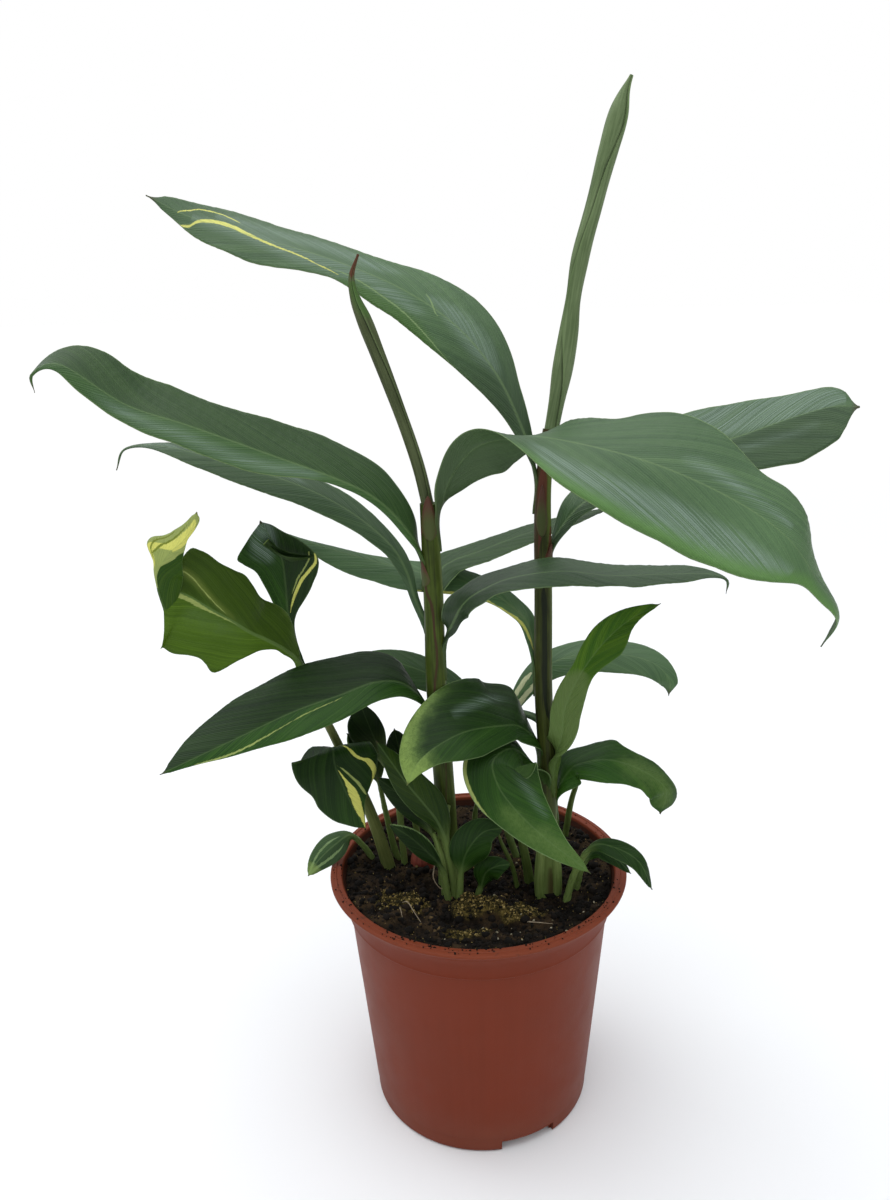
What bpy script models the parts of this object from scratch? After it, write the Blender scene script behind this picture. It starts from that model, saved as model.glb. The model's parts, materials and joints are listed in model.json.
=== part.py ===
"""Variegated shell ginger in a 14 cm nursery pot.

Lengths in the tables are millimetres. +Z is up, the middle of the pot's base is the
origin and the front faces -Y. Angles are degrees: an azimuth of 0 is +X, of 90 is +Y.
"""

import math

import bmesh
import bpy
import numpy as np
from mathutils import Matrix

MM = 0.001
CLEARANCE = 0.5  # between a leaf base and its stem
HOLE_CLEARANCE = 0.65  # between a stalk and its hole in the soil

# Pot
POT_SIDES = 44
FOOT_RADIUS = 52.0
STEP_RADIUS, STEP_HEIGHT = 61.3, 102.5  # where the wall steps out under the lip
NECK_RADIUS, NECK_HEIGHT = 62.6, 110.0
RIM_RADIUS, RIM_HEIGHT = 70.0, 120.6
LIP_WIDTH = 5.0
WALL = 1.6
FLOOR_UNDER, FLOOR_TOP = 5.0, 6.6
CENTRE_FOOT_RADIUS = 9.0
DRAIN_RADIUS, DRAIN_CIRCLE, DRAIN_COUNT, DRAIN_START = 4.0, 34.0, 6, 18
NOTCH_WIDTH, NOTCH_HEIGHT = 27.0, 5.4
NOTCH_AZIMUTHS = (-67, 113)

# Soil
SOIL_HEIGHT = 112.0
SOIL_MOUND = 1.4  # the middle stands this much over the edge
SOIL_SIDES = 40
SOIL_REACH = 60.0
SOIL_RINGS = (0, 12, 22, 32, 42, 52)
SOIL_GAP = 0.5
HOLE_BOTTOM = 106.0

# Stems: the axis from the soil up, and the radius at even steps along it
STEMS = {
    "left_stem": dict(
        line=[
            (-14, -3, 107), (-14, -6, 139), (-15, -10, 172), (-17, -13, 216), (-17, -15, 257),
            (-18, -16, 299),
        ],
        radius=[5, 4.7, 4.6, 4.4, 4.2, 2.6]),
    "right_stem": dict(
        line=[
            (32, -13, 107), (32, -12, 170), (30, -10, 213), (30, -8, 254), (30, -5, 300),
            (33, -3, 326),
        ],
        radius=[4.6, 4.2, 4, 3.9, 3.7, 3]),
    "shoot_a": dict(
        line=[
            (-42, 11, 107), (-47, 10, 130), (-53, 8, 152), (-64, 3, 185), (-68, 2, 196),
            (-77, 0, 222),
        ],
        radius=[3.4, 3, 2.6, 2.2, 1.9, 1.5]),
    "left_spear": dict(
        line=[
            (-18, -16, 300), (-21, -16, 312), (-25, -15, 326), (-31, -14, 344), (-37, -13, 361),
            (-41, -12, 372), (-44, -11, 380), (-45, -10, 388), (-43, -10, 396),
        ],
        radius=[2.3, 2.2, 2.2, 2.2, 2.1, 2.2, 2.5, 2.3, 0.7]),
    "right_spear": dict(
        line=[
            (33, -3, 327), (37, -2, 345), (40, -2, 363), (42, -1, 377), (45, 0, 394), (50, 1, 412),
            (54, 2, 427), (58, 3, 441), (61, 4, 451), (64, 4, 458),
        ],
        radius=[2.9, 3.2, 4.2, 4, 3.1, 3.6, 3.4, 3.4, 3.8, 3.7, 0.7]),
    "centre_stalk": dict(
        line=[(25, -3, 107), (23, -5, 122), (20, -6, 140), (18, -7, 155)],
        radius=[2.6, 2.3, 2, 1.6]),
    "thin_stalk": dict(
        line=[(19, -6, 107), (16, -6, 122), (11, -6, 135), (9, -6, 142)],
        radius=[1.3, 1.1, 1, 0.9]),
    "right_stalk": dict(
        line=[(44, 30, 107), (46, 30, 120), (48, 25, 140), (52, 19, 158)],
        radius=[1.8, 1.6, 1.5, 1.2]),
    "back_stalk": dict(
        line=[(2, 4, 107), (0, 2, 125), (-1, -1, 145), (1, -4, 160)],
        radius=[1.9, 1.7, 1.5, 1.2]),
    "rhizome_bud": dict(
        line=[(-26, 13, 107), (-26, 13, 112), (-26, 12, 116), (-25, 12, 120)],
        radius=[4.6, 4.8, 4, 0.8]),
}
STANDING = (
    "left_stem", "right_stem", "shoot_a", "centre_stalk", "thin_stalk", "right_stalk", "back_stalk",
    "rhizome_bud",
)

# Leaves. on: stem, height and azimuth of the attachment; without it the stalk stands in the
# soil. line: the midrib. face: where the upper side looks (azimuth, elevation) at even steps
# of the line. low and high: half widths at even steps of the length, on the two sides of the
# midrib; or half: the greatest one, sides: its share on each side, and base and tip: powers
# of the outline towards each end. widest and stalk: shares of the length. fold and curl:
# rise of each half at the midrib, and the further turn to its margin.
LEAVES = {
    "leaf_top_left": dict(
        on=("right_stem", 306, 180),
        line=[
            (21, -2, 328), (11, 4, 349), (-5, 9, 368), (-27, 12, 383), (-55, 12, 395),
            (-84, 10, 404), (-109, 6, 412), (-124, 1, 420),
        ],
        face=[(-90, 25), (-90, 45), (-90, 50), (-90, 45)],
        low=[2, 2.5, 6.5, 11.5, 14, 14, 11, 10.5, 12, 8, 0.6],
        high=[2, 2.5, 5.5, 10, 16, 16.5, 13, 13, 13.5, 10, 0.6],
        widest=0.42, fold=-8, curl=-4),
    "leaf_big_right": dict(
        on=("left_stem", 294, -10),
        line=[
            (-9, -22, 310), (0, -29, 323), (12, -35, 328), (30, -43, 328), (62, -56, 321),
            (90, -66, 309), (110, -72, 295), (123, -73, 277), (131, -73, 265), (127, -69, 252),
        ],
        face=[
            (95, 0), (90, 20), (80, 60), (-90, 70), (-90, 42), (-85, 38),
            (-60, 35), (-40, 30), (-30, 30), (-20, 20),
        ],
        low=[3, 7, 13, 17, 21, 26, 27, 21, 19, 10, 0.6],
        high=[3, 6, 11, 14, 19, 21.5, 24, 24, 19, 9.5, 0.6],
        widest=0.58, fold=-6, curl=-4),
    "leaf_right": dict(
        on=("right_stem", 276, 10),
        line=[
            (42, -4, 290), (52, 0, 297), (73, 8, 309), (92, 14, 314), (114, 17, 317),
            (138, 20, 324), (157, 20, 329), (169, 18, 329),
        ],
        face=[(-90, 50), (-90, 45), (-90, 40), (-90, 40)],
        low=[2, 3, 7, 11, 15, 17, 19, 18.5, 15.5, 11.5, 0.6],
        high=[2, 3, 4, 6, 9, 11, 13.5, 17, 19.5, 16, 0.6],
        widest=0.7, fold=-5, curl=0),
    "leaf_back": dict(
        on=("left_stem", 258, 90),
        line=[(-14, 2, 265), (-8, 8, 268), (4, 12, 271), (22, 14, 277), (42, 14, 283), (61, 12, 289)],
        face=[(-90, 80), (-90, 84), (-90, 80)],
        half=14, sides=(0.9, 0.8), widest=0.5, tip=0.8, fold=-4, curl=0),
    "leaf_left": dict(
        on=("left_stem", 276, 190),
        line=[
            (-29, -17, 291), (-40, -20, 303), (-55, -24, 312), (-80, -28, 323), (-108, -32, 335),
            (-131, -34, 344), (-153, -34, 359), (-165, -32, 356), (-165, -32, 349),
        ],
        face=[(-90, 40), (-90, 50), (-90, 50), (-90, 50)],
        low=[2, 2.5, 3, 3.5, 6, 9.5, 10.5, 9.5, 7, 4.5, 0.6],
        high=[2, 4, 10, 17, 20.5, 19.5, 18, 18.5, 15, 8.5, 0.6],
        widest=0.55, fold=-8, curl=-2),
    "leaf_left_low": dict(
        on=("left_stem", 240, 130),
        line=[
            (-25, -4, 254), (-29, 2, 266), (-36, 6, 277), (-52, 8, 291), (-73, 8, 303),
            (-102, 6, 314), (-128, 4, 322), (-144, 2, 322), (-149, 2, 313),
        ],
        face=[(-90, 60), (-90, 60), (-90, 60)],
        half=10, widest=0.5, stalk=0.15, tip=0.75, fold=-8, curl=0),
    "leaf_cross": dict(
        on=("right_stem", 224, 160),
        line=[
            (24, 0, 240), (17, 6, 247), (8, 8, 253), (-7, 10, 259), (-23, 12, 262),
            (-41, 15, 266), (-58, 16, 271), (-76, 17, 277), (-84, 17, 281),
        ],
        face=[(-90, 50), (-90, 60), (-90, 60)],
        low=[2, 2.5, 3, 3.5, 5.5, 8.5, 11, 11.5, 8, 3, 0.6],
        high=[2, 2.5, 3, 5, 7, 7.5, 7, 4, 2, 1.2, 0.6],
        widest=0.58, stalk=0.1, fold=-6, curl=-4),
    "leaf_flag": dict(
        on=("shoot_a", 212, 210),
        line=[
            (-82, -10, 230), (-89, -18, 240), (-101, -25, 252), (-110, -29, 260), (-117, -32, 267),
            (-120, -33, 277), (-118, -32, 289), (-110, -27, 300),
        ],
        face=[(-90, 40), (-90, 40), (-90, 35), (-90, 30), (-110, 20), (-140, 10), (-150, 5), (-140, 0)],
        low=[2, 2, 2, 3, 14, 22, 18, 15, 24, 20, 0.6],
        high=[2, 4, 9, 17, 19, 20, 20, 19, 8, 6, 0.6],
        sheath=3, widest=0.47, stalk=0.14, fold=-2, curl=-2, wave=(1.5, 2, 0.3)),
    "leaf_upright": dict(
        on=("shoot_a", 216, 100),
        line=[(-81, 9, 230), (-83, 11, 245), (-83, 10, 260), (-84, 8, 273), (-91, 5, 289)],
        face=[(-90, 0), (-90, 10)],
        low=[2, 2, 2, 2, 2, 4, 9, 14, 18, 14, 0.6],
        high=[2, 2, 2, 2, 2, 5, 11, 16, 14, 8, 0.6],
        sheath=3, widest=0.7, stalk=0.2, fold=14, curl=10),
    "leaf_low_left": dict(
        on=("left_stem", 206, 200),
        line=[
            (-30, -22, 222), (-42, -28, 226), (-57, -34, 223), (-75, -40, 219), (-97, -46, 211),
            (-130, -50, 197),
        ],
        face=[(-90, 60), (-90, 60), (-90, 55)],
        low=[2, 3, 5, 9, 9, 10.5, 9, 7.5, 4.5, 2, 0.6],
        high=[2, 4, 11.5, 18, 22, 23, 21.5, 18.5, 15, 9, 0.6],
        widest=0.5, stalk=0.1, fold=-6, curl=-4),
    "leaf_behind": dict(
        on=("right_stem", 196, 120),
        line=[(20, 1, 203), (10, 4, 207), (-2, 6, 210), (-15, 8, 214), (-33, 8, 220), (-53, 6, 226)],
        face=[(-90, 60), (-90, 60), (-90, 60)],
        half=10, widest=0.5, stalk=0.1, tip=0.9, fold=-6, curl=-4),
    "leaf_dark": dict(
        line=[
            (-35, 15, 107), (-36, 14, 120), (-37, 12, 145), (-39, 11, 161), (-43, 10, 172),
            (-48, 9, 186), (-53, 7, 203),
        ],
        face=[(-90, 20), (-90, 20), (-90, 30)],
        low=[1.6, 1.6, 1.6, 1.6, 1.6, 1.6, 1.6, 4, 10, 9, 0.6],
        high=[1.6, 1.6, 1.6, 1.6, 1.6, 1.6, 1.6, 3, 6, 5, 0.6],
        widest=0.85, stalk=0.65, fold=-6, curl=-4),
    "leaf_shadow": dict(
        line=[(-28, 25, 107), (-29, 24, 120), (-31, 22, 140), (-33, 20, 158), (-36, 18, 172), (-38, 17, 184)],
        face=[(-90, 20), (-90, 20), (-90, 30)],
        half=7, widest=0.8, stalk=0.6, tip=0.8, fold=-6, curl=-4),
    "leaf_round": dict(
        on=("right_stem", 188, 195),
        line=[
            (19, -20, 200), (10, -27, 204), (-5, -34, 205), (-18, -40, 201), (-26, -44, 195),
            (-30, -46, 187),
        ],
        face=[(-90, 50), (-90, 45), (-100, 42), (-110, 40)],
        low=[2, 3, 5, 6.5, 7, 9.5, 12, 11, 7.5, 4.5, 0.6],
        high=[2, 4, 12, 20, 23.5, 24, 23, 19.5, 14, 8, 0.6],
        widest=0.5, fold=-4, curl=-6),
    "leaf_hanging": dict(
        on=("right_stem", 172, 235),
        line=[
            (19, -25, 184), (11, -33, 189), (10, -40, 182), (19, -45, 172), (30, -50, 162),
            (44, -56, 151),
        ],
        face=[(-100, 60), (-110, 40), (-100, 40)],
        low=[2, 5, 12, 18, 20, 19.5, 18, 13.5, 7.5, 3.5, 0.6],
        high=[2, 4, 9, 15, 17, 14.5, 10.5, 8.5, 6.5, 4, 0.6],
        widest=0.38, fold=-4, curl=-6),
    "leaf_twisted": dict(
        on=("right_stem", 178, -60),
        line=[
            (37, -20, 194), (38, -20, 206), (41, -20, 216), (46, -20, 226), (54, -21, 238),
            (64, -22, 248), (77, -24, 256),
        ],
        face=[(-110, 10), (-100, 20), (-90, 30)],
        low=[2, 3, 4, 4.5, 4.5, 4.5, 5, 6.5, 5.5, 3.5, 0.6],
        high=[2, 2, 2, 2, 2.5, 2.5, 3, 5, 5.5, 2, 0.6],
        widest=0.6, fold=6, curl=4),
    "leaf_arching": dict(
        line=[
            (22, 15, 107), (15, 15, 130), (12, 18, 155), (14, 20, 178), (22, 22, 197),
            (34, 24, 210), (51, 24, 216), (71, 22, 216), (84, 18, 213), (91, 15, 206),
            (91, 14, 198),
        ],
        face=[(-90, 10), (-90, 50), (-90, 60), (-80, 50)],
        half=10, widest=0.8, stalk=0.4, tip=0.6, fold=-6, curl=-4),
    "leaf_wavy": dict(
        on=("right_stem", 162, 5),
        line=[
            (42, -11, 174), (48, -14, 179), (58, -20, 183), (71, -24, 180), (82, -26, 171),
            (80, -26, 159),
        ],
        face=[(-90, 60), (-90, 60), (-60, 40)],
        half=10, widest=0.55, base=1.4, tip=0.7, fold=-6, curl=-4, wave=(1.2, 2, 0)),
    "leaf_rim": dict(
        line=[
            (39, -22, 107), (40, -22, 115), (44, -22, 130), (51, -25, 143), (60, -28, 144),
            (70, -32, 139), (76, -34, 126),
        ],
        face=[(-90, 20), (-90, 60), (-60, 50)],
        half=5, widest=0.7, stalk=0.45, tip=0.8, fold=-6, curl=-4),
    "leaf_rim_small": dict(
        line=[
            (44, -15, 107), (45, -15, 115), (48, -16, 128), (54, -17, 136), (62, -19, 133),
            (69, -21, 126),
        ],
        face=[(-90, 20), (-90, 60), (-60, 50)],
        half=4, widest=0.7, stalk=0.45, tip=0.8, fold=-6, curl=-4),
    "leaf_mid_right": dict(
        on=("left_stem", 236, -20),
        line=[
            (-10, -20, 247), (-4, -25, 259), (5, -28, 266), (16, -31, 271), (35, -31, 273),
            (55, -29, 270), (78, -26, 269), (96, -24, 268), (104, -23, 265), (104, -23, 259),
        ],
        face=[(-60, 50), (-90, 78), (-90, 80), (-90, 60)],
        half=15, sides=(1, 0.65), widest=0.5, stalk=0.1, tip=0.8, fold=-6, curl=-4),
    "leaf_striped": dict(
        on=("shoot_a", 179, -90),
        line=[
            (-65, -6, 186), (-64, -11, 187), (-63, -15, 181), (-60, -16, 172), (-56, -16, 161),
            (-51, -16, 150),
        ],
        face=[(-90, 60), (-90, 35), (-90, 30)],
        low=[2, 5, 9, 12, 13.5, 14, 14, 12, 8, 4, 0.6],
        high=[2, 8, 14, 16.5, 16.5, 13.5, 10, 7, 5, 3, 0.6],
        sheath=3, widest=0.45, fold=-6, curl=-4),
    "leaf_pale_edge": dict(
        line=[
            (-38, 21, 107), (-41, 19, 120), (-44, 17, 140), (-47, 15, 160), (-52, 13, 174),
            (-60, 11, 185),
        ],
        face=[(-90, 20), (-90, 30), (-90, 30)],
        half=7, widest=0.8, stalk=0.6, tip=0.8, fold=-6, curl=-4),
    "leaf_left_rim": dict(
        line=[
            (-50, 17, 107), (-51, 16, 113), (-55, 13, 123), (-61, 10, 131), (-68, 6, 129),
            (-76, 2, 123), (-81, -2, 117),
        ],
        face=[(-90, 20), (-90, 50), (-90, 50)],
        half=5.5, widest=0.7, stalk=0.45, tip=0.8, fold=-6, curl=-4),
    "leaf_bright": dict(
        line=[
            (-15, -16, 107), (-15, -17, 120), (-15, -19, 141), (-18, -21, 155), (-24, -22, 165),
            (-31, -22, 175), (-38, -21, 186), (-44, -19, 195),
        ],
        face=[(-90, 20), (-90, 20), (-90, 30)],
        low=[1.6, 1.6, 1.6, 1.6, 2, 4.5, 6, 6, 5, 3, 0.6],
        high=[1.6, 1.6, 1.6, 1.8, 4, 8, 9, 8, 6.5, 4, 0.6],
        widest=0.7, stalk=0.4, fold=-6, curl=-4),
    "leaf_dark_low": dict(
        line=[
            (-21, -12, 107), (-21, -13, 120), (-20, -15, 138), (-22, -16, 149), (-28, -16, 159),
            (-36, -15, 167), (-45, -13, 174),
        ],
        face=[(-90, 20), (-90, 20), (-90, 30)],
        half=6, widest=0.75, stalk=0.5, tip=0.8, fold=-6, curl=-4),
    "leaf_low": dict(
        line=[
            (-20, -20, 107), (-20, -21, 118), (-19, -22, 130), (-23, -23, 139), (-31, -24, 147),
            (-40, -23, 152),
        ],
        face=[(-90, 20), (-90, 40), (-90, 40)],
        half=6, widest=0.7, stalk=0.4, tip=0.8, fold=-6, curl=-4),
    "leaf_centre": dict(
        line=[
            (-9, -19, 107), (-9, -21, 118), (-8, -23, 132), (-5, -25, 143), (2, -27, 153),
            (11, -29, 156),
        ],
        face=[(-90, 20), (-90, 30), (-90, 30)],
        half=9, widest=0.65, stalk=0.4, base=0.7, tip=0.8, fold=-6, curl=-4),
    "leaf_small": dict(
        line=[
            (-2, -16, 107), (-1, -18, 114), (1, -20, 122), (3, -23, 130), (8, -26, 135),
            (14, -28, 137),
        ],
        face=[(-90, 20), (-90, 30), (-90, 30)],
        half=6, widest=0.65, stalk=0.35, tip=0.8, fold=-6, curl=-4),
}
BLADE_THICKNESS = 0.9
STALK_RADIUS = 1.6
LEAST_HALF_WIDTH = 0.6
SHEATH = 7  # how far a leaf base runs along its stem
NARROW = 3.0  # up to this half width a blade is even on both sides
STEM_SIDE_BULGE = 0.3
LEAF_STEPS, LEAF_COLUMNS = 14, 4
STEM_STEPS, STEM_BEVEL = 12, 3

# Colours
POT_COLOUR = (0.30, 0.08, 0.045)
SOIL_COLOUR = (0.035, 0.024, 0.016)
STEM_COLOUR = (0.10, 0.13, 0.03)
BUD_COLOUR = (0.35, 0.10, 0.07)
LEAF_COLOUR = (0.045, 0.12, 0.035)


def clear_scene():
    for thing in list(bpy.data.objects):
        bpy.data.objects.remove(thing, do_unlink=True)


def material(name, colour, roughness):
    made = bpy.data.materials.new(name)
    made.use_nodes = True
    shader = made.node_tree.nodes["Principled BSDF"]
    shader.inputs["Base Color"].default_value = (*colour, 1)
    shader.inputs["Roughness"].default_value = roughness
    return made


def add_object(name, data, home, look):
    """An object of a mesh or curve in a collection, with its material."""
    made = bpy.data.objects.new(name, data)
    data.materials.append(look)
    home.objects.link(made)
    return made


def unit(vectors):
    return vectors / np.linalg.norm(vectors, axis=-1, keepdims=True)


def direction(azimuth, elevation):
    a, e = math.radians(azimuth), math.radians(elevation)
    return np.array([math.cos(e) * math.cos(a), math.cos(e) * math.sin(a), math.sin(e)])


def spread(values, count):
    """The values interpolated at count even steps."""
    values = np.atleast_1d(np.array(values, float))
    return np.interp(np.linspace(0, 1, count), np.linspace(0, 1, len(values)), values)


def rounded(values, t):
    """A smooth curve through values at even steps, read at the shares t."""
    v = np.array([values[0], *values, values[-1]], float)
    place = np.clip(np.array(t) * (len(values) - 1), 0, len(values) - 1.001)
    k = place.astype(int)
    u = place - k
    a, b, c, d = v[k], v[k + 1], v[k + 2], v[k + 3]
    square, cube = a - 2.5 * b + 2 * c - d / 2, 1.5 * (b - c) + (d - a) / 2
    return b + (c - a) * u / 2 + square * u**2 + cube * u**3


def smooth_line(points, count):
    """Evenly spaced points on a smooth curve through the given ones, and the place of each
    among the given ones (0 at the first, 1 at the second and so on)."""
    p = np.array(points, float)
    p = np.vstack([2 * p[0] - p[1], p, 2 * p[-1] - p[-2]])
    pieces = []
    for a, b, c, d in zip(p, p[1:], p[2:], p[3:]):
        t = np.linspace(0, 1, 24, endpoint=False)[:, None]
        square = (a - 2.5 * b + 2 * c - d / 2) * t**2
        cube = (1.5 * (b - c) + (d - a) / 2) * t**3
        pieces.append(b + (c - a) * t / 2 + square + cube)
    fine = np.vstack([*pieces, p[-2:-1]])
    along = np.concatenate([[0], np.cumsum(np.linalg.norm(np.diff(fine, axis=0), axis=1))])
    even = np.linspace(0, along[-1], count)
    line = np.stack([np.interp(even, along, fine[:, k]) for k in range(3)], axis=1)
    return line, np.interp(even, along, np.arange(len(fine)) / 24)


def stem_at(name, height):
    """Centre and radius of a stem at a height."""
    line, _ = smooth_line(STEMS[name]["line"], 200)
    radius = spread(STEMS[name]["radius"], 200)
    nearest = int(np.argmin(abs(line[:, 2] - height)))
    return line[nearest], radius[nearest]


def leaf_guides(leaf):
    """Points of the midrib with the facing at each. A leaf on a stem begins along it, with
    its upper side to the stem."""
    points = [np.array(p, float) for p in leaf["line"]]
    looks = np.array([direction(*f) for f in leaf["face"]])
    faces = np.stack([spread(looks[:, k], len(points)) for k in range(3)], axis=1)
    if "on" not in leaf:
        return points, faces
    stem, height, azimuth = leaf["on"]
    outward = direction(azimuth, 0)
    start = []
    for z in (height - leaf.get("sheath", SHEATH), height):
        centre, radius = stem_at(stem, z)
        start.append(centre + outward * (radius + CLEARANCE + BLADE_THICKNESS / 2 + STEM_SIDE_BULGE))
    return start + points, np.vstack([-outward, -outward, faces])


def leaf_outline(leaf, t):
    """Half widths of a blade on its two sides at each share of its length."""
    if "low" in leaf:
        return [rounded(leaf[side], t) for side in ("low", "high")]
    widest, stalk = leaf["widest"], leaf.get("stalk", 0.06)
    rise = np.sin(np.pi / 2 * np.clip((t - stalk) / (widest - stalk), 0, 1)) ** leaf.get("base", 1)
    fall = np.cos(np.pi / 2 * np.clip((t - widest) / (1 - widest), 0, 1)) ** leaf["tip"]
    neck = 1.8 if "on" in leaf else STALK_RADIUS
    half = np.maximum(leaf["half"] * rise * fall, np.interp(t, [0, 1], [neck, LEAST_HALF_WIDTH]))
    return [half * np.where(half > NARROW, share, 1) for share in leaf.get("sides", (1, 1))]


def stalk_bulge(leaf, t):
    """How far the skins stand off the middle surface at the midrib, above and below it."""
    widest, stalk = leaf["widest"], leaf.get("stalk", 0.06)
    fading = np.where(t <= stalk, 1, np.clip((widest - t) / (widest - stalk), 0, 1) ** 2)
    round_stalk = STALK_RADIUS - BLADE_THICKNESS / 2
    above = (STEM_SIDE_BULGE if "on" in leaf else round_stalk) * fading
    below = np.maximum((1.1 if "on" in leaf else round_stalk) * (1 - t), above)
    return above, below


def leaf_surface(leaf):
    """The curved middle surface of a blade: a grid of points, base to tip and side to side."""
    points, faces = leaf_guides(leaf)
    line, place = smooth_line(points, LEAF_STEPS + 1)
    look = np.stack([np.interp(place, np.arange(len(faces)), faces[:, k]) for k in range(3)], axis=1)
    tangent = unit(np.gradient(line, axis=0))
    up = unit(look - (look * tangent).sum(axis=1)[:, None] * tangent)
    across = np.cross(tangent, up)

    t = np.linspace(0, 1, LEAF_STEPS + 1)
    outline = leaf_outline(leaf, t)
    broad = max(map(max, outline))
    height, waves, phase = leaf.get("wave", (0, 1, 0))
    middle = np.zeros((LEAF_STEPS + 1, LEAF_COLUMNS + 1, 3))
    for i in range(LEAF_STEPS + 1):
        for j, s in enumerate(np.linspace(-1, 1, LEAF_COLUMNS + 1)):
            reach = outline[int(s > 0)][i]
            turn = np.radians(leaf["fold"] + leaf["curl"] * np.linspace(0, abs(s), 9))
            x = np.mean(np.cos(turn)) * s * reach
            h = np.mean(np.sin(turn)) * abs(s) * reach
            wave = math.sin(2 * math.pi * (waves * t[i] + phase) + (1.3 if s > 0 else 0))
            h += height * s**2 * wave * min(1, 2 * reach / broad)
            middle[i, j] = line[i] + across[i] * x + up[i] * h
    return middle


def leaf_mesh(name, leaf):
    """A closed blade: two alike skins over the middle surface, joined round the rim."""
    middle = leaf_surface(leaf)
    normal = unit(np.cross(np.gradient(middle, axis=1), np.gradient(middle, axis=0)))
    above, below = stalk_bulge(leaf, np.linspace(0, 1, LEAF_STEPS + 1))
    rounding = np.sqrt(1 - np.linspace(-1, 1, LEAF_COLUMNS + 1) ** 2)[None, :, None]
    upper = middle + normal * (BLADE_THICKNESS / 2 + above[:, None, None] * rounding)
    lower = middle - normal * (BLADE_THICKNESS / 2 + below[:, None, None] * rounding)

    columns = LEAF_COLUMNS + 1
    top = np.arange((LEAF_STEPS + 1) * columns).reshape(-1, columns)
    under = top + top.size
    triangles = []
    for i in range(LEAF_STEPS):
        for j in range(LEAF_COLUMNS):
            a, b, c, d = (i, j), (i, j + 1), (i + 1, j + 1), (i + 1, j)
            triangles += [(top[a], top[b], top[c]), (top[a], top[c], top[d])]
            triangles += [(under[a], under[c], under[b]), (under[a], under[d], under[c])]
    rim = [(i, 0) for i in range(LEAF_STEPS)]
    rim += [(LEAF_STEPS, j) for j in range(LEAF_COLUMNS)]
    rim += [(i, LEAF_COLUMNS) for i in range(LEAF_STEPS, 0, -1)]
    rim += [(0, j) for j in range(LEAF_COLUMNS, 0, -1)]
    for a, b in zip(rim, rim[1:] + rim[:1]):
        triangles += [(top[a], top[b], under[b]), (top[a], under[b], under[a])]
    points = np.vstack([upper.reshape(-1, 3), lower.reshape(-1, 3)]) * MM
    mesh = bpy.data.meshes.new(name)
    mesh.from_pydata(points.tolist(), [], [tuple(map(int, corners)) for corners in triangles])
    mesh.shade_smooth()
    mesh.set_sharp_from_angle(angle=math.radians(50))
    return mesh


def stem_curve(name, stem):
    """A round rod along the stem's axis, its radius set point by point."""
    line, _ = smooth_line(stem["line"], STEM_STEPS + 1)
    curve = bpy.data.curves.new(name, "CURVE")
    curve.dimensions = "3D"
    curve.bevel_depth = MM
    curve.bevel_resolution = STEM_BEVEL
    curve.use_fill_caps = True
    spline = curve.splines.new("POLY")
    spline.points.add(STEM_STEPS)
    for point, place, radius in zip(spline.points, line, spread(stem["radius"], STEM_STEPS + 1)):
        point.co = (*(place * MM), 1)
        point.radius = radius
    return curve


def turned_mesh(name, profile, sides, home):
    """A solid turned about +Z. The profile runs from the axis, down the outer side and back
    to the axis."""
    outline = bpy.data.meshes.new(name)
    edges = [(i, i + 1) for i in range(len(profile) - 1)]
    outline.from_pydata([(radius * MM, 0, z * MM) for radius, z in profile], edges, [])
    guide = bpy.data.objects.new(name + "_profile", outline)
    home.objects.link(guide)
    screw = guide.modifiers.new("turn", "SCREW")
    screw.steps = sides
    screw.render_steps = sides
    screw.use_merge_vertices = True
    screw.merge_threshold = 0.00001
    mesh = bpy.data.meshes.new_from_object(guide.evaluated_get(bpy.context.evaluated_depsgraph_get()))
    bpy.data.objects.remove(guide, do_unlink=True)
    mesh.shade_smooth()
    mesh.set_sharp_from_angle(angle=math.radians(40))
    return mesh


def cutter(name, shape, home, look):
    """A hidden object that cuts another, from a bmesh primitive."""
    mesh = bpy.data.meshes.new(name)
    shape.to_mesh(mesh)
    shape.free()
    made = add_object(name, mesh, home, look)
    made.hide_render = True
    made.display_type = "WIRE"
    return made


def round_cutter(name, radius, low, high, x, y, home, look):
    shape = bmesh.new()
    middle = Matrix.Translation((x * MM, y * MM, (low + high) / 2 * MM))
    bmesh.ops.create_cone(
        shape, cap_ends=True, segments=12, radius1=radius * MM, radius2=radius * MM,
        depth=(high - low) * MM, matrix=middle)
    return cutter(name, shape, home, look)


def block_cutter(name, size, centre, azimuth, home, look):
    shape = bmesh.new()
    turn = Matrix.Rotation(math.radians(azimuth), 4, "Z")
    place = Matrix.Translation([c * MM for c in centre])
    stretch = Matrix.Diagonal([*(side * MM for side in size), 1])
    bmesh.ops.create_cube(shape, size=1, matrix=turn @ place @ stretch)
    return cutter(name, shape, home, look)


def cut(body, cutters):
    for tool in cutters:
        step = body.modifiers.new("cut_" + tool.name, "BOOLEAN")
        step.operation = "DIFFERENCE"
        step.solver = "EXACT"
        step.object = tool


def wall_inside(z):
    """Radius of the pot's inner wall at a height below the neck."""
    return FOOT_RADIUS + (STEP_RADIUS - FOOT_RADIUS) * z / STEP_HEIGHT - WALL


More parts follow.
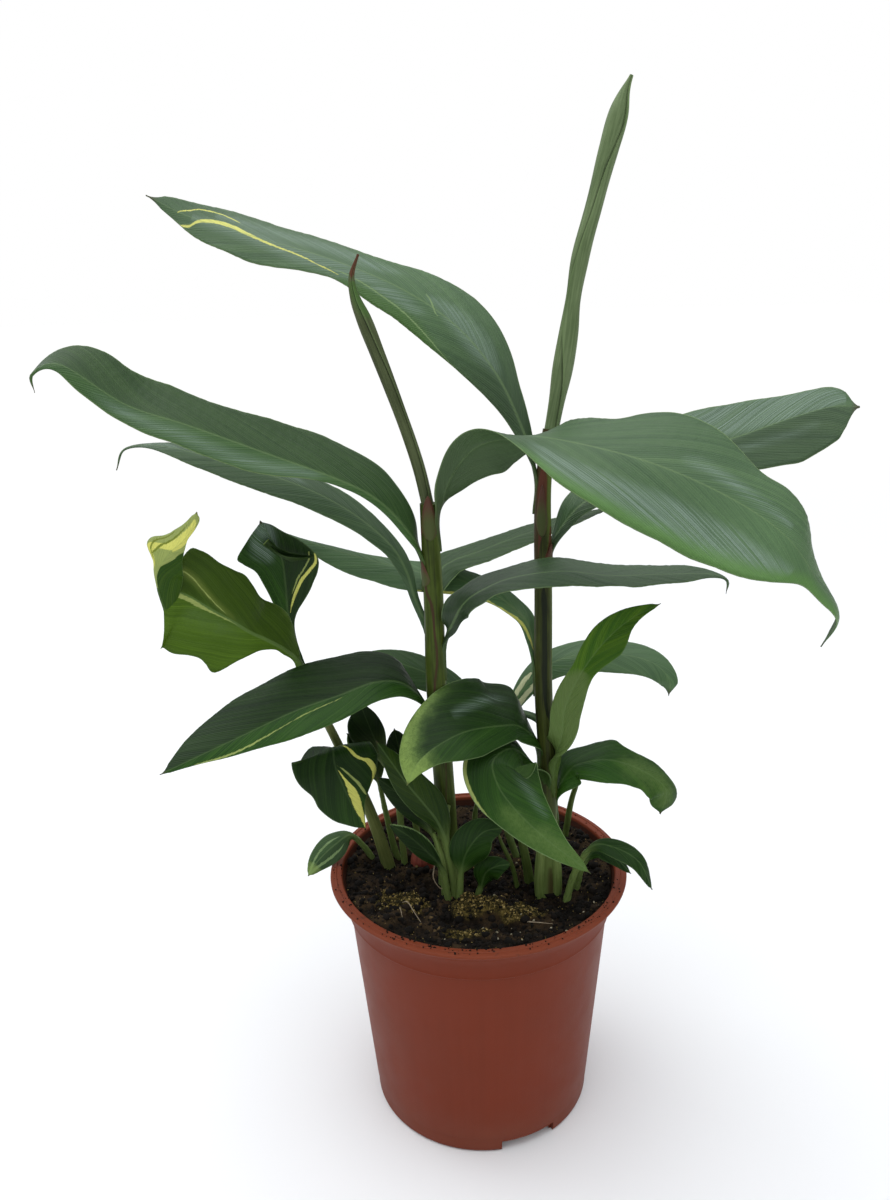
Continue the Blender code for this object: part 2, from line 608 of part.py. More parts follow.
def pot_profile():
    """From the middle of the floor up the inside, over the lip, down the outside to the
    foot and under it to the flat centre foot."""
    lip_inner = RIM_RADIUS - LIP_WIDTH
    ridge = RIM_RADIUS - LIP_WIDTH / 2
    return [
        (0, FLOOR_TOP),
        (wall_inside(FLOOR_TOP), FLOOR_TOP),
        (wall_inside(STEP_HEIGHT), STEP_HEIGHT),
        (NECK_RADIUS - WALL, NECK_HEIGHT - 1),
        (lip_inner - 1.6, RIM_HEIGHT - 3.4),
        (lip_inner - 0.5, RIM_HEIGHT - 0.7),
        (lip_inner + 0.3, RIM_HEIGHT),
        (ridge - 0.4, RIM_HEIGHT),
        (ridge, RIM_HEIGHT + 0.4),
        (ridge + 0.4, RIM_HEIGHT),
        (RIM_RADIUS - 0.7, RIM_HEIGHT - 0.1),
        (RIM_RADIUS, RIM_HEIGHT - 0.9),
        (RIM_RADIUS - 0.4, RIM_HEIGHT - 2.2),
        (RIM_RADIUS - 3.2, RIM_HEIGHT - 3.6),
        (RIM_RADIUS - 6, RIM_HEIGHT - 6.6),
        (NECK_RADIUS, NECK_HEIGHT),
        (STEP_RADIUS + 0.9, STEP_HEIGHT + 1),
        (STEP_RADIUS, STEP_HEIGHT),
        (FOOT_RADIUS + 0.2, 2.2),
        (FOOT_RADIUS - 0.3, 0.7),
        (FOOT_RADIUS - 1.2, 0),
        (FOOT_RADIUS - 2.4, 0),
        (FOOT_RADIUS - 2.6, FLOOR_UNDER),
        (CENTRE_FOOT_RADIUS + 1.2, FLOOR_UNDER),
        (CENTRE_FOOT_RADIUS, 0),
        (0, 0),
    ]


def make_pot(home, tools, look):
    pot = add_object("pot", turned_mesh("pot", pot_profile(), POT_SIDES, home), home, look)
    cutters = []
    for k in range(DRAIN_COUNT):
        angle = 2 * math.pi * k / DRAIN_COUNT + math.radians(DRAIN_START)
        x, y = DRAIN_CIRCLE * math.cos(angle), DRAIN_CIRCLE * math.sin(angle)
        low, high = FLOOR_UNDER - 1, FLOOR_TOP + 1
        cutters.append(round_cutter(f"drain_{k}", DRAIN_RADIUS, low, high, x, y, tools, look))
    for k, azimuth in enumerate(NOTCH_AZIMUTHS):
        size = (8, NOTCH_WIDTH, NOTCH_HEIGHT + 2)
        centre = (FOOT_RADIUS, 0, NOTCH_HEIGHT / 2 - 1)
        cutters.append(block_cutter(f"notch_{k}", size, centre, azimuth, tools, look))
    cut(pot, cutters)


def soil_rise(x, y):
    """How far the soil's lumpy top stands over its flat level, in millimetres."""
    radius, angle = math.hypot(x, y), math.atan2(y, x)
    share = radius / SOIL_REACH
    lumps = 0.42 * math.sin(3 * angle + 0.8) * share + 0.3 * math.sin(7 * angle + radius / 9) * share
    return lumps + 0.4 * math.sin(radius / 6) - SOIL_MOUND * share**2


def make_soil(home, tools, look):
    low = FLOOR_TOP + SOIL_GAP
    top_edge = NECK_RADIUS - WALL - SOIL_GAP - 0.3
    profile = [(radius, SOIL_HEIGHT) for radius in SOIL_RINGS]
    profile += [
        (top_edge, SOIL_HEIGHT - 2.5),
        (wall_inside(STEP_HEIGHT) - SOIL_GAP, STEP_HEIGHT),
        (wall_inside(low) - SOIL_GAP, low),
        (0, low),
    ]
    mesh = turned_mesh("soil", profile, SOIL_SIDES, home)
    for vertex in mesh.vertices:
        if vertex.co.z > (SOIL_HEIGHT - 1) * MM:
            vertex.co.z += soil_rise(vertex.co.x / MM, vertex.co.y / MM) * MM
    soil = add_object("soil", mesh, home, look)
    stalks = [(name, STEMS[name]["line"], STEMS[name]["radius"][0]) for name in STANDING]
    stalks += [(name, leaf["line"], STALK_RADIUS) for name, leaf in LEAVES.items() if "on" not in leaf]
    cutters = []
    for name, line, radius in stalks:
        (x, y, z), after = line[0], line[1]
        share = (SOIL_HEIGHT - z) / (after[2] - z)
        lean_x, lean_y = (after[0] - x) * share, (after[1] - y) * share
        wide = radius + HOLE_CLEARANCE + math.hypot(lean_x, lean_y) / 2
        x, y = x + lean_x / 2, y + lean_y / 2
        hole = round_cutter("hole_" + name, wide, HOLE_BOTTOM, SOIL_HEIGHT + 8, x, y, tools, look)
        cutters.append(hole)
    cut(soil, cutters)


def main():
    clear_scene()
    scene = bpy.context.scene
    home = bpy.data.collections.new("potted_shell_ginger")
    tools = bpy.data.collections.new("cutters")
    scene.collection.children.link(home)
    scene.collection.children.link(tools)
    make_pot(home, tools, material("pot_plastic", POT_COLOUR, 0.5))
    make_soil(home, tools, material("soil", SOIL_COLOUR, 0.95))
    stem_look = material("stem", STEM_COLOUR, 0.5)
    bud_look = material("bud", BUD_COLOUR, 0.5)
    leaf_look = material("leaf", LEAF_COLOUR, 0.4)
    for name, stem in STEMS.items():
        add_object(name, stem_curve(name, stem), home, bud_look if name == "rhizome_bud" else stem_look)
    for name, leaf in LEAVES.items():
        add_object(name, leaf_mesh(name, leaf), home, leaf_look)


main()
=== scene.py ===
"""Looks of the potted shell ginger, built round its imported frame.

Lengths in the tables are millimetres. +Z is up, the middle of the pot's base is the origin
and the front faces -Y. Angles are degrees: an azimuth of 0 is +X, of 90 is +Y.
"""

import json
import math
import random

import bmesh
import bpy
import numpy as np
from mathutils import Matrix, Vector, noise

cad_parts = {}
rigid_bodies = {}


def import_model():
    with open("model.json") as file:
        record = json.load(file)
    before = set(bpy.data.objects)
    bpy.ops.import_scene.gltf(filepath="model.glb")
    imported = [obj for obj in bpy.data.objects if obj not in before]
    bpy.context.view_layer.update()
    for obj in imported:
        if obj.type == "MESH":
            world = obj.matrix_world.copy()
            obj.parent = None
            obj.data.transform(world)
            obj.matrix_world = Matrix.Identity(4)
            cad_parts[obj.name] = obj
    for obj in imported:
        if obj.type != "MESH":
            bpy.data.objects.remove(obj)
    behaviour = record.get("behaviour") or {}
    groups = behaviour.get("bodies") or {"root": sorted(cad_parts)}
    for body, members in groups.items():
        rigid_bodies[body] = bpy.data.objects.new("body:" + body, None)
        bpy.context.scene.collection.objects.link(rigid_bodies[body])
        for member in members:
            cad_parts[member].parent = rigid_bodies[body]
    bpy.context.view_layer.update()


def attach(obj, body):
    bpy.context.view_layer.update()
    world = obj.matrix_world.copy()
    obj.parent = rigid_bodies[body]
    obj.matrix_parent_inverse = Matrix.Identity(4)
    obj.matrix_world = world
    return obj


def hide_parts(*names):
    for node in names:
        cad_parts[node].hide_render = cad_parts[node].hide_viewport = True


MM = 0.001
HOME, TOOLS = "potted_shell_ginger", "cutters"  # collections of the pieces and of what cuts them

# Camera, in metres: the photograph's place, tilt and angle of view
CAMERA_PLACE = (-0.0122, -0.4171, 0.3842)
CAMERA_TILT = 17.53  # looking down
CAMERA_ROLL = -1.56
CAMERA_LENS, CAMERA_SENSOR = 30.0, 36.0

# Pot
POT_SIDES = 176
FOOT_RADIUS = 52.0
STEP_RADIUS, STEP_HEIGHT = 61.3, 102.5  # where the wall steps out under the lip
NECK_RADIUS, NECK_HEIGHT = 62.6, 110.0
RIM_RADIUS, RIM_HEIGHT = 70.0, 120.6
LIP_WIDTH = 5.0
WALL = 1.6
FOOT_LINE = 8.0  # where the wall steps out over the foot ring
FLOOR_UNDER, FLOOR_TOP = 5.0, 6.6
CENTRE_FOOT_RADIUS = 9.0
DRAIN_RADIUS, DRAIN_CIRCLE, DRAIN_COUNT, DRAIN_START = 4.0, 34.0, 6, 18
NOTCH_WIDTH, NOTCH_HEIGHT = 27.0, 5.4
NOTCH_AZIMUTHS = (-67, 113)

# Soil
SOIL_HEIGHT = 112.0
SOIL_MOUND = 1.4  # the middle stands this much over the part round it
SOIL_BANK, SOIL_BANK_START = 6.0, 0.64  # rise against the wall, and where it starts
SOIL_REACH = 60.0
SOIL_EDGE = 62.9
SOIL_RINGS, SOIL_SPOKES = 110, 220
CLOD_SPACING, CLOD_HEIGHT = 11, 3.6
MOSS = [  # x, y, half width, half depth and height of each mossy lump
    (0, -27, 15, 9, 6.0), (-36, -20, 15, 11, 1.6), (19, -32, 11, 7, 3.4), (-8, -46, 13, 5, 1.0),
]
CRUMBS, CLODS, MOSS_GRAINS, PERLITE_GRAINS, LIP_SPECKS = 5000, 560, 3400, 50, 170
GRAIN_SEED = 7
LIP_TOP = (64.5, 68.8)  # radii between which the specks on the lip lie
GRAIN_COLOURS = {  # from the darkest grain to the lightest
    "soil_crumbs": [
        (0.003, 0.002, 0.001), (0.009, 0.006, 0.004), (0.034, 0.021, 0.011), (0.210, 0.140, 0.055)],
    "moss": [
        (0.012, 0.011, 0.003), (0.042, 0.033, 0.008), (0.135, 0.094, 0.023), (0.430, 0.320, 0.120)],
    "perlite": [(0.20, 0.17, 0.10), (0.42, 0.38, 0.27)],
}
ROOTS = [
    [(-36, -21, 113), (-33, -25, 115.5), (-30, -30, 115), (-27, -35, 113.5), (-26, -38, 113)],
    [(-20, -19, 133), (-21, -20, 127), (-19, -20, 121), (-16, -19, 117), (-15, -16, 112)],
    [(20, -40, 113.5), (26, -43, 114.5), (31, -42, 113)],
    [(-37, -25, 113), (-36, -30, 113.5), (-35, -35, 113)],
]
ROOT_RADIUS, ROOT_RINGS, ROOT_SIDES = 0.28, 40, 8

# Stems and rolled leaves: the axis upwards, and the radius at even steps along it
STEMS = {
    "left_stem": dict(
        line=[
            (-14, -3, 107), (-14, -6, 139), (-15, -10, 172), (-17, -13, 216), (-17, -15, 257),
            (-18, -16, 299),
        ],
        radius=[5, 4.7, 4.6, 4.4, 4.2, 3.5]),
    "right_stem": dict(
        line=[
            (32, -13, 107), (32, -12, 170), (30, -10, 213), (30, -8, 254), (30, -5, 300),
            (33, -3, 326),
        ],
        radius=[4.6, 4.2, 4, 3.9, 3.7, 3]),
    "shoot_a": dict(
        line=[
            (-42, 11, 107), (-47, 10, 130), (-53, 8, 152), (-64, 3, 185), (-68, 2, 196),
            (-77, 0, 222),
        ],
        radius=[3.4, 3, 2.6, 2.2, 1.9, 1.5]),
    "left_spear": dict(
        line=[
            (-18, -16, 297), (-21, -16, 312), (-25, -15, 326), (-31, -14, 344), (-37, -13, 361),
            (-41, -12, 372), (-44, -11, 380), (-45, -10, 388), (-42, -10, 396),
        ],
        radius=[2.5, 2.5, 2.5, 2.5, 2.7, 2.9, 3.0, 1.6, 0.45]),
    "right_spear": dict(
        line=[
            (33, -3, 323), (37, -2, 345), (40, -2, 363), (42, -1, 377), (45, 0, 394), (50, 1, 412),
            (54, 2, 427), (58, 3, 441), (61, 4, 451), (64, 4, 458),
        ],
        radius=[2.9, 3.2, 4.2, 4, 3.1, 3.6, 3.4, 3.4, 3.8, 3.7, 0.7]),
    "centre_stalk": dict(
        line=[(25, -3, 107), (23, -5, 122), (20, -6, 140), (18, -7, 155)],
        radius=[2.6, 2.4, 2.2, 2.1, 2, 1.9, 1.7, 1.2, 0.3]),
    "thin_stalk": dict(
        line=[(19, -6, 107), (16, -6, 122), (11, -6, 135), (9, -6, 142)],
        radius=[1.3, 1.2, 1.1, 1.1, 1, 1, 0.9, 0.7, 0.2]),
    "right_stalk": dict(
        line=[(44, 30, 107), (46, 30, 120), (48, 25, 140), (52, 19, 158)],
        radius=[1.8, 1.7, 1.6, 1.6, 1.5, 1.4, 1.3, 0.9, 0.2]),
    "back_stalk": dict(
        line=[(2, 4, 107), (0, 2, 125), (-1, -1, 145), (1, -4, 160)],
        radius=[1.9, 1.8, 1.7, 1.6, 1.5, 1.4, 1.3, 0.9, 0.2]),
    "rhizome_bud": dict(
        line=[(-27, 13, 107), (-27, 13, 113), (-27, 12, 118), (-26, 12, 122)],
        radius=[5.4, 6.0, 5.2, 1.2]),
}

# Leaves. on: stem, height and azimuth of the attachment; without it the stalk stands in the
# soil. line: the midrib. face: where the upper side looks (azimuth, elevation) at even steps
# of the line. low and high: half widths at even steps of the length, on the two sides of the
# midrib; or half: the greatest one, sides: its share on each side, and base and tip: powers
# of the outline towards each end. widest and stalk: shares of the length. fold and curl:
# rise of each half at the midrib, and the further turn to its margin. sheath: how far the base
# of a leaf runs along its stem. wave: height and number of the waves in its margins.
LEAVES = {
    "leaf_top_left": dict(
        on=("right_stem", 306, 180),
        line=[
            (21, -2, 328), (11, 4, 349), (-5, 9, 368), (-27, 12, 383), (-55, 12, 395),
            (-84, 10, 404), (-109, 6, 412), (-124, 1, 420),
        ],
        face=[(-90, 25), (-90, 45), (-90, 50), (-90, 45)],
        low=[2, 2, 2.5, 3.5, 5.5, 8.5, 11, 13, 14.5, 14.2, 13.2, 12.5, 10, 8.5, 9.7, 11.5, 12.5, 11,
            8.5, 3.5, 0.6],
        high=[2, 2, 2.5, 3.5, 5, 7, 11.5, 15.2, 17.8, 18, 16.8, 13.5, 12, 13, 13, 12.7, 13.8, 14.5, 12,
            8, 1.5],
        widest=0.42, fold=-8),
    "leaf_big_right": dict(
        on=("left_stem", 294, -10),
        line=[
            (-9, -22, 310), (0, -29, 323), (12, -35, 328), (30, -43, 328), (62, -56, 321),
            (90, -66, 309), (110, -72, 295), (123, -73, 277), (131, -73, 265), (127, -69, 252),
        ],
        face=[
            (95, 0), (90, 20), (80, 60), (-90, 70), (-90, 42), (-85, 38),
            (-60, 35), (-40, 30), (-30, 30), (-20, 20),
        ],
        low=[3, 3.5, 5, 8, 12.5, 16.5, 17.5, 24, 21, 19.5, 25.5, 27.5, 26, 22, 18.5, 21, 19.5, 10, 6.5,
            4, 0.6],
        high=[3, 3, 4, 5.5, 7.5, 9, 11, 14.5, 20, 23, 25, 26, 26.5, 27, 26, 24.5, 19, 8, 5.5, 3.5,
            0.6],
        widest=0.58),
    "leaf_right": dict(
        on=("right_stem", 276, 10),
        line=[
            (42, -4, 290), (52, 0, 297), (73, 8, 309), (92, 14, 314), (114, 17, 317),
            (138, 20, 324), (157, 20, 329), (169, 18, 329),
        ],
        face=[(-90, 50), (-90, 45), (-90, 40), (-90, 40)],
        low=[2, 2.3, 3, 4.5, 7, 9, 11, 13, 15, 16, 17, 17.5, 18.5, 18.5, 17, 15.5, 13.5, 12, 11, 10, 3],
        high=[2, 2.5, 3, 3.5, 4, 5, 6, 7.5, 9, 10, 11, 12, 13.5, 15.5, 17.5, 19, 20.5, 19, 17, 13.5, 3],
        widest=0.7, fold=-5, curl=0),
    "leaf_back": dict(
        on=("left_stem", 258, 90),
        line=[(-14, 2, 265), (-8, 8, 268), (4, 12, 271), (22, 14, 277), (42, 14, 283), (61, 12, 289)],
        face=[(-90, 80), (-90, 84), (-90, 80)],
        half=14, sides=(0.9, 0.8), widest=0.5, fold=-4, curl=0),
    "leaf_left": dict(
        on=("left_stem", 276, 190),
        line=[
            (-29, -17, 291), (-40, -20, 303), (-55, -24, 312), (-80, -28, 323), (-108, -32, 335),
            (-131, -34, 344), (-153, -34, 359), (-165, -32, 356), (-165, -32, 349),
        ],
        face=[(-90, 40), (-90, 50), (-90, 50), (-90, 50)],
        low=[2, 2.2, 2.5, 2.5, 2.5, 2.5, 2.5, 3, 5, 8, 10, 10.5, 10, 9, 8.8, 7, 6, 5.3, 3, 1.2, 0.5],
        high=[2, 3, 4.5, 6.8, 10, 15, 18.5, 20, 21, 20, 19.5, 18.5, 17.5, 17.5, 18.5, 18, 16.5, 16.5,
            12.5, 1.5, 0.5],
        widest=0.55, fold=-8, curl=-2),
    "leaf_left_low": dict(
        on=("left_stem", 240, 130),
        line=[
            (-25, -4, 254), (-29, 2, 266), (-36, 6, 277), (-52, 8, 291), (-73, 8, 303),
            (-102, 6, 314), (-128, 4, 322), (-144, 2, 322), (-149, 2, 313),
        ],
        face=[(-90, 60), (-90, 60), (-90, 60)],
        low=[1.8, 1.8, 1.8, 1.8, 2.2, 3.5, 4.5, 6, 7, 8, 9, 9.5, 10, 9.7, 9, 7.5, 6.5, 4, 1.5, 0.6,
            0.6],
        high=[1.8, 1.8, 1.8, 1.8, 2.2, 3.5, 4.5, 6, 7.5, 9, 9.5, 9.5, 9.5, 9, 8.5, 7.5, 6, 4, 1.5, 0.6,
            0.6],
        widest=0.5, stalk=0.15, fold=-8, curl=0),
    "leaf_cross": dict(
        on=("right_stem", 224, 160),
        line=[
            (24, 0, 240), (17, 6, 247), (8, 8, 253), (-7, 10, 259), (-23, 12, 262),
            (-41, 15, 266), (-58, 16, 271), (-76, 17, 277), (-84, 17, 281),
        ],
        face=[(-90, 50), (-90, 60), (-90, 60)],
        low=[2, 2.2, 2.5, 2.7, 3, 3.5, 4.2, 5, 6, 7.5, 9, 10, 11, 11, 10.5, 10.5, 9.5, 7.5, 5, 2.5,
            0.6],
        high=[2, 2.2, 2.5, 3, 4, 5, 6, 7, 7.5, 7.5, 7.5, 7.5, 7, 5.5, 4.5, 3.5, 3, 2.5, 1.8, 1.2, 0.6],
        widest=0.58, stalk=0.1),
    "leaf_flag": dict(
        on=("shoot_a", 212, 210),
        line=[
            (-77, -8, 228), (-81, -14, 236), (-88, -19, 243), (-94, -23, 248), (-101, -27, 255),
            (-108, -30, 261), (-115, -32, 267), (-120, -34, 270), (-125, -34, 272),
        ],
        face=[(-90, 40), (-90, 35), (-90, 28), (-90, 22)],
        low=[2, 2, 2, 2, 2, 1.5, 1.5, 2, 2, 4, 7, 12.5, 21.5, 20.5, 19.5, 20.5, 23, 23, 23, 11, 1],
        high=[2, 2, 2, 2, 2, 2, 5.5, 10.5, 14.5, 16, 16, 15.5, 15.5, 17.5, 19.5, 19, 18.5, 18, 19, 17, 1],
        sheath=3, widest=0.47, stalk=0.14, fold=-3, curl=-3),
    "leaf_upright": dict(
        on=("shoot_a", 216, 100),
        line=[(-81, 9, 230), (-83, 11, 245), (-83, 10, 260), (-84, 8, 273), (-91, 5, 289)],
        face=[(-90, 0), (-90, 10)],
        low=[2, 2, 2, 2, 2, 2, 2, 2, 2.5, 4, 6, 7.5, 9, 10.5, 12, 13.5, 15, 16.5, 17, 9, 0.6],
        high=[2, 2, 2, 2, 2, 2, 2, 2.2, 3, 5, 7.5, 10, 12.5, 14.5, 16.5, 17.5, 14, 10, 6.5, 4, 0.6],
        sheath=3, widest=0.7, stalk=0.2, fold=14, curl=10),
    "leaf_low_left": dict(
        on=("left_stem", 206, 200),
        line=[
            (-30, -22, 222), (-42, -28, 226), (-57, -34, 223), (-75, -40, 219), (-97, -46, 211),
            (-130, -50, 197),
        ],
        face=[(-90, 60), (-90, 60), (-90, 55)],
        low=[2, 3, 4.8, 8, 9.5, 11.3, 11.8, 8.8, 6.1, 2.8, 0.6],
        high=[2, 4, 11.5, 20, 22.5, 24.5, 23, 21.5, 18.5, 12.5, 0.6],
        widest=0.5, stalk=0.1),
    "leaf_behind": dict(
        on=("right_stem", 196, 120),
        line=[(19, 2, 198), (10, 5, 199), (-2, 7, 204), (-15, 8, 212), (-33, 8, 220), (-53, 6, 226)],
        face=[(-90, 60), (-90, 60), (-90, 60)],
        low=[1.8, 1.8, 1.8, 1.8, 2.5, 5, 8, 9.5, 9, 6, 0.6],
        high=[1.8, 1.8, 1.8, 1.8, 2.5, 5, 8, 9.5, 9, 6, 0.6],
        widest=0.5, stalk=0.1),
    "leaf_dark": dict(
        line=[
            (-35, 15, 107), (-36, 14, 120), (-37, 12, 145), (-39, 11, 161), (-43, 10, 172),
            (-48, 9, 186), (-53, 7, 203),
        ],
        face=[(-90, 20), (-90, 20), (-90, 30)],
        low=[1.6, 1.6, 1.6, 1.6, 1.6, 1.6, 1.6, 4, 10, 9, 0.6],
        high=[1.6, 1.6, 1.6, 1.6, 1.6, 1.6, 1.6, 3, 6, 5, 0.6],
        widest=0.85, stalk=0.65),
    "leaf_shadow": dict(
        line=[
            (-28, 25, 107), (-29, 24, 120), (-31, 22, 140), (-33, 20, 158), (-36, 18, 172), (-38, 17, 184),
        ],
        face=[(-90, 20), (-90, 20), (-90, 30)],
        half=7, widest=0.8, stalk=0.6),
    "leaf_round": dict(
        on=("right_stem", 188, 195),
        line=[
            (19, -20, 200), (10, -27, 204), (-5, -34, 205), (-18, -40, 201), (-26, -44, 195),
            (-30, -46, 187),
        ],
        face=[(-90, 50), (-90, 45), (-100, 42), (-110, 40)],
        low=[2, 3, 5, 6.5, 7, 9.5, 12, 11, 7.5, 4.5, 0.6],
        high=[2, 4, 12, 20, 24, 25, 24.5, 21.5, 17, 10, 0.6],
        widest=0.5, fold=-4, curl=-6),
    "leaf_hanging": dict(
        on=("right_stem", 172, 235),
        line=[
            (20, -24, 189), (13, -31, 195), (6, -37, 192), (8, -41, 183), (14, -45, 175),
            (22, -48, 167), (31, -52, 160), (38, -54, 155), (45, -57, 150),
        ],
        face=[(-100, 60), (-105, 45), (-100, 40)],
        low=[1.8, 2, 3, 4.5, 5.5, 6, 6.5, 8, 11, 15, 18, 19, 18.5, 16.5, 14, 11.5, 8.8, 6.2, 4,
            2.2, 0.6],
        high=[1.8, 1.8, 1.8, 2, 3, 5, 7, 9, 11, 12.5, 13, 12.5, 11.5, 10.2, 9, 8, 6.8, 5.4, 4, 2.3,
            0.6],
        widest=0.38, fold=-4, curl=-6),
    "leaf_twisted": dict(
        on=("right_stem", 178, -60),
        line=[
            (37, -20, 194), (38, -20, 206), (41, -20, 216), (46, -20, 226), (54, -21, 238),
            (64, -22, 248), (77, -24, 256),
        ],
        face=[(-110, 10), (-100, 20), (-90, 30)],
        low=[2, 2.8, 4, 5.5, 6, 6.3, 6, 5.8, 6, 6, 5.8, 5.2, 5, 6, 6.8, 7.4, 7, 5.8, 4.2, 2.4, 0.6],
        high=[2, 2, 2, 2.3, 2.8, 4, 5.6, 7, 7.4, 7.3, 6.7, 5.8, 5.4, 6.4, 7.8, 8.6, 7.2, 4.2, 2.2, 1,
            0.6],
        widest=0.6, fold=6, curl=4),
    "leaf_arching": dict(
        line=[
            (22, 15, 107), (15, 15, 130), (12, 18, 155), (14, 20, 178), (22, 22, 197),
            (34, 24, 210), (51, 24, 216), (71, 22, 216), (84, 18, 213), (91, 15, 206),
            (91, 14, 198),
        ],
        face=[(-90, 10), (-90, 50), (-90, 60), (-80, 50)],
        half=10, widest=0.8, stalk=0.4, tip=0.6),
    "leaf_wavy": dict(
        on=("right_stem", 162, 5),
        line=[
            (42, -11, 174), (48, -14, 179), (58, -20, 183), (71, -24, 180), (82, -26, 171),
            (80, -26, 159),
        ],
        face=[(-90, 60), (-90, 60), (-60, 40)],
        low=[1.8, 2, 2, 3, 5, 7, 9, 10.5, 12, 12.5, 12.5, 12, 9, 7.5, 7.5, 8, 7.8, 7, 7, 5, 0.6],
        high=[1.8, 2, 2, 2.5, 4, 6, 7.5, 7, 8, 10, 11.5, 12, 11, 9.5, 8.5, 7.5, 8.5, 8.5, 8, 6.5, 1],
        widest=0.55, wave=(1.2, 2)),
    "leaf_rim": dict(
        line=[
            (39, -22, 107), (40, -22, 115), (44, -22, 130), (51, -25, 143), (60, -28, 144),
            (70, -32, 139), (76, -34, 126),
        ],
        face=[(-90, 20), (-90, 60), (-60, 50)],
        half=5, widest=0.7, stalk=0.45),
    "leaf_rim_small": dict(
        line=[
            (44, -15, 107), (45, -15, 115), (48, -16, 128), (54, -17, 136), (62, -19, 133),
            (69, -21, 126),
        ],
        face=[(-90, 20), (-90, 60), (-60, 50)],
        half=4, widest=0.7, stalk=0.45),
    "leaf_mid_right": dict(
        on=("left_stem", 236, -20),
        line=[
            (-10, -20, 247), (-4, -25, 259), (5, -28, 266), (16, -31, 271), (35, -31, 273),
            (55, -29, 270), (78, -26, 269), (96, -24, 268), (104, -23, 265), (104, -23, 259),
        ],
        face=[(-60, 50), (-90, 78), (-90, 80), (-90, 60)],
        low=[1.8, 1.8, 1.8, 3, 6, 9, 12, 14, 15.5, 16.5, 17, 17, 17, 16, 15.5, 15, 13.5, 11, 6, 1.5,
            0.5],
        high=[1.8, 1.8, 1.8, 2.7, 3.7, 5.6, 7, 8, 9, 9.6, 9.8, 9.7, 9, 7.5, 8.5, 7.5, 6.4, 5.1, 2.6,
            1, 0.5],
        widest=0.5, stalk=0.1),
    "leaf_striped": dict(
        on=("shoot_a", 179, -90),
        line=[
            (-65, -6, 186), (-64, -11, 187), (-63, -15, 181), (-60, -16, 172), (-56, -16, 161),
            (-51, -16, 150),
        ],
        face=[(-90, 60), (-90, 35), (-90, 30)],
        low=[2, 2, 2, 3, 6, 11, 16, 18.5, 19.5, 20, 20, 19, 17.5, 15.5, 12.5, 9.5, 6.5, 4.5, 3, 1.5,
            0.6],
        high=[2, 2, 2, 4, 7, 11, 16.5, 19, 19.5, 19, 18, 16.5, 15, 14.5, 14.5, 13.5, 12, 10, 7, 4,
            0.6],
        sheath=3, widest=0.45, curl=-6),
    "leaf_pale_edge": dict(
        line=[
            (-38, 21, 107), (-41, 19, 120), (-44, 17, 140), (-47, 15, 160), (-52, 13, 174),
            (-60, 11, 185),
        ],
        face=[(-90, 20), (-90, 30), (-90, 30)],
        half=7, widest=0.8, stalk=0.6),
    "leaf_left_rim": dict(
        line=[
            (-50, 17, 107), (-51, 16, 113), (-55, 13, 123), (-61, 10, 131), (-68, 6, 129),
            (-76, 2, 123), (-81, -2, 117),
        ],
        face=[(-90, 20), (-90, 50), (-90, 50)],
        half=7, widest=0.7, stalk=0.45),
    "leaf_bright": dict(
        line=[
            (-12, -16, 107), (-12, -17, 120), (-14, -19, 141), (-18, -21, 155), (-24, -22, 165),
            (-31, -22, 175), (-38, -21, 186), (-44, -19, 195),
        ],
        face=[(-90, 20), (-90, 20), (-90, 30)],
        low=[1.8, 1.8, 1.8, 1.8, 1.8, 3.6, 6, 6.5, 5.5, 3.2, 0.6],
        high=[1.8, 1.8, 1.8, 1.8, 2, 6, 9, 8.5, 7, 4.2, 0.6],
        widest=0.7, stalk=0.4),
    "leaf_dark_low": dict(
        line=[
            (-16, -13, 107), (-16, -14, 120), (-18, -15, 138), (-22, -16, 149), (-28, -16, 159),
            (-36, -15, 167), (-45, -13, 174),
        ],
        face=[(-90, 20), (-90, 20), (-90, 30)],
        half=6, widest=0.75, stalk=0.5),
    "leaf_low": dict(
        line=[
            (-14, -18, 107), (-15, -19, 118), (-17, -21, 131), (-23, -23, 141), (-31, -24, 150),
            (-40, -23, 156),
        ],
        face=[(-90, 20), (-90, 40), (-90, 40)],
        half=4.6, widest=0.7, stalk=0.4),
    "leaf_centre": dict(
        line=[
            (-9, -19, 107), (-9, -21, 118), (-8, -23, 132), (-5, -25, 143), (2, -27, 153),
            (11, -29, 156),
        ],
        face=[(-90, 20), (-90, 30), (-90, 30)],
        half=9, widest=0.65, stalk=0.4, base=0.7),
    "leaf_small": dict(
        line=[
            (-2, -16, 107), (-1, -18, 114), (1, -20, 122), (3, -23, 130), (8, -26, 135),
            (14, -28, 137),
        ],
        face=[(-90, 20), (-90, 30), (-90, 30)],
        half=6, widest=0.65, stalk=0.35),
}

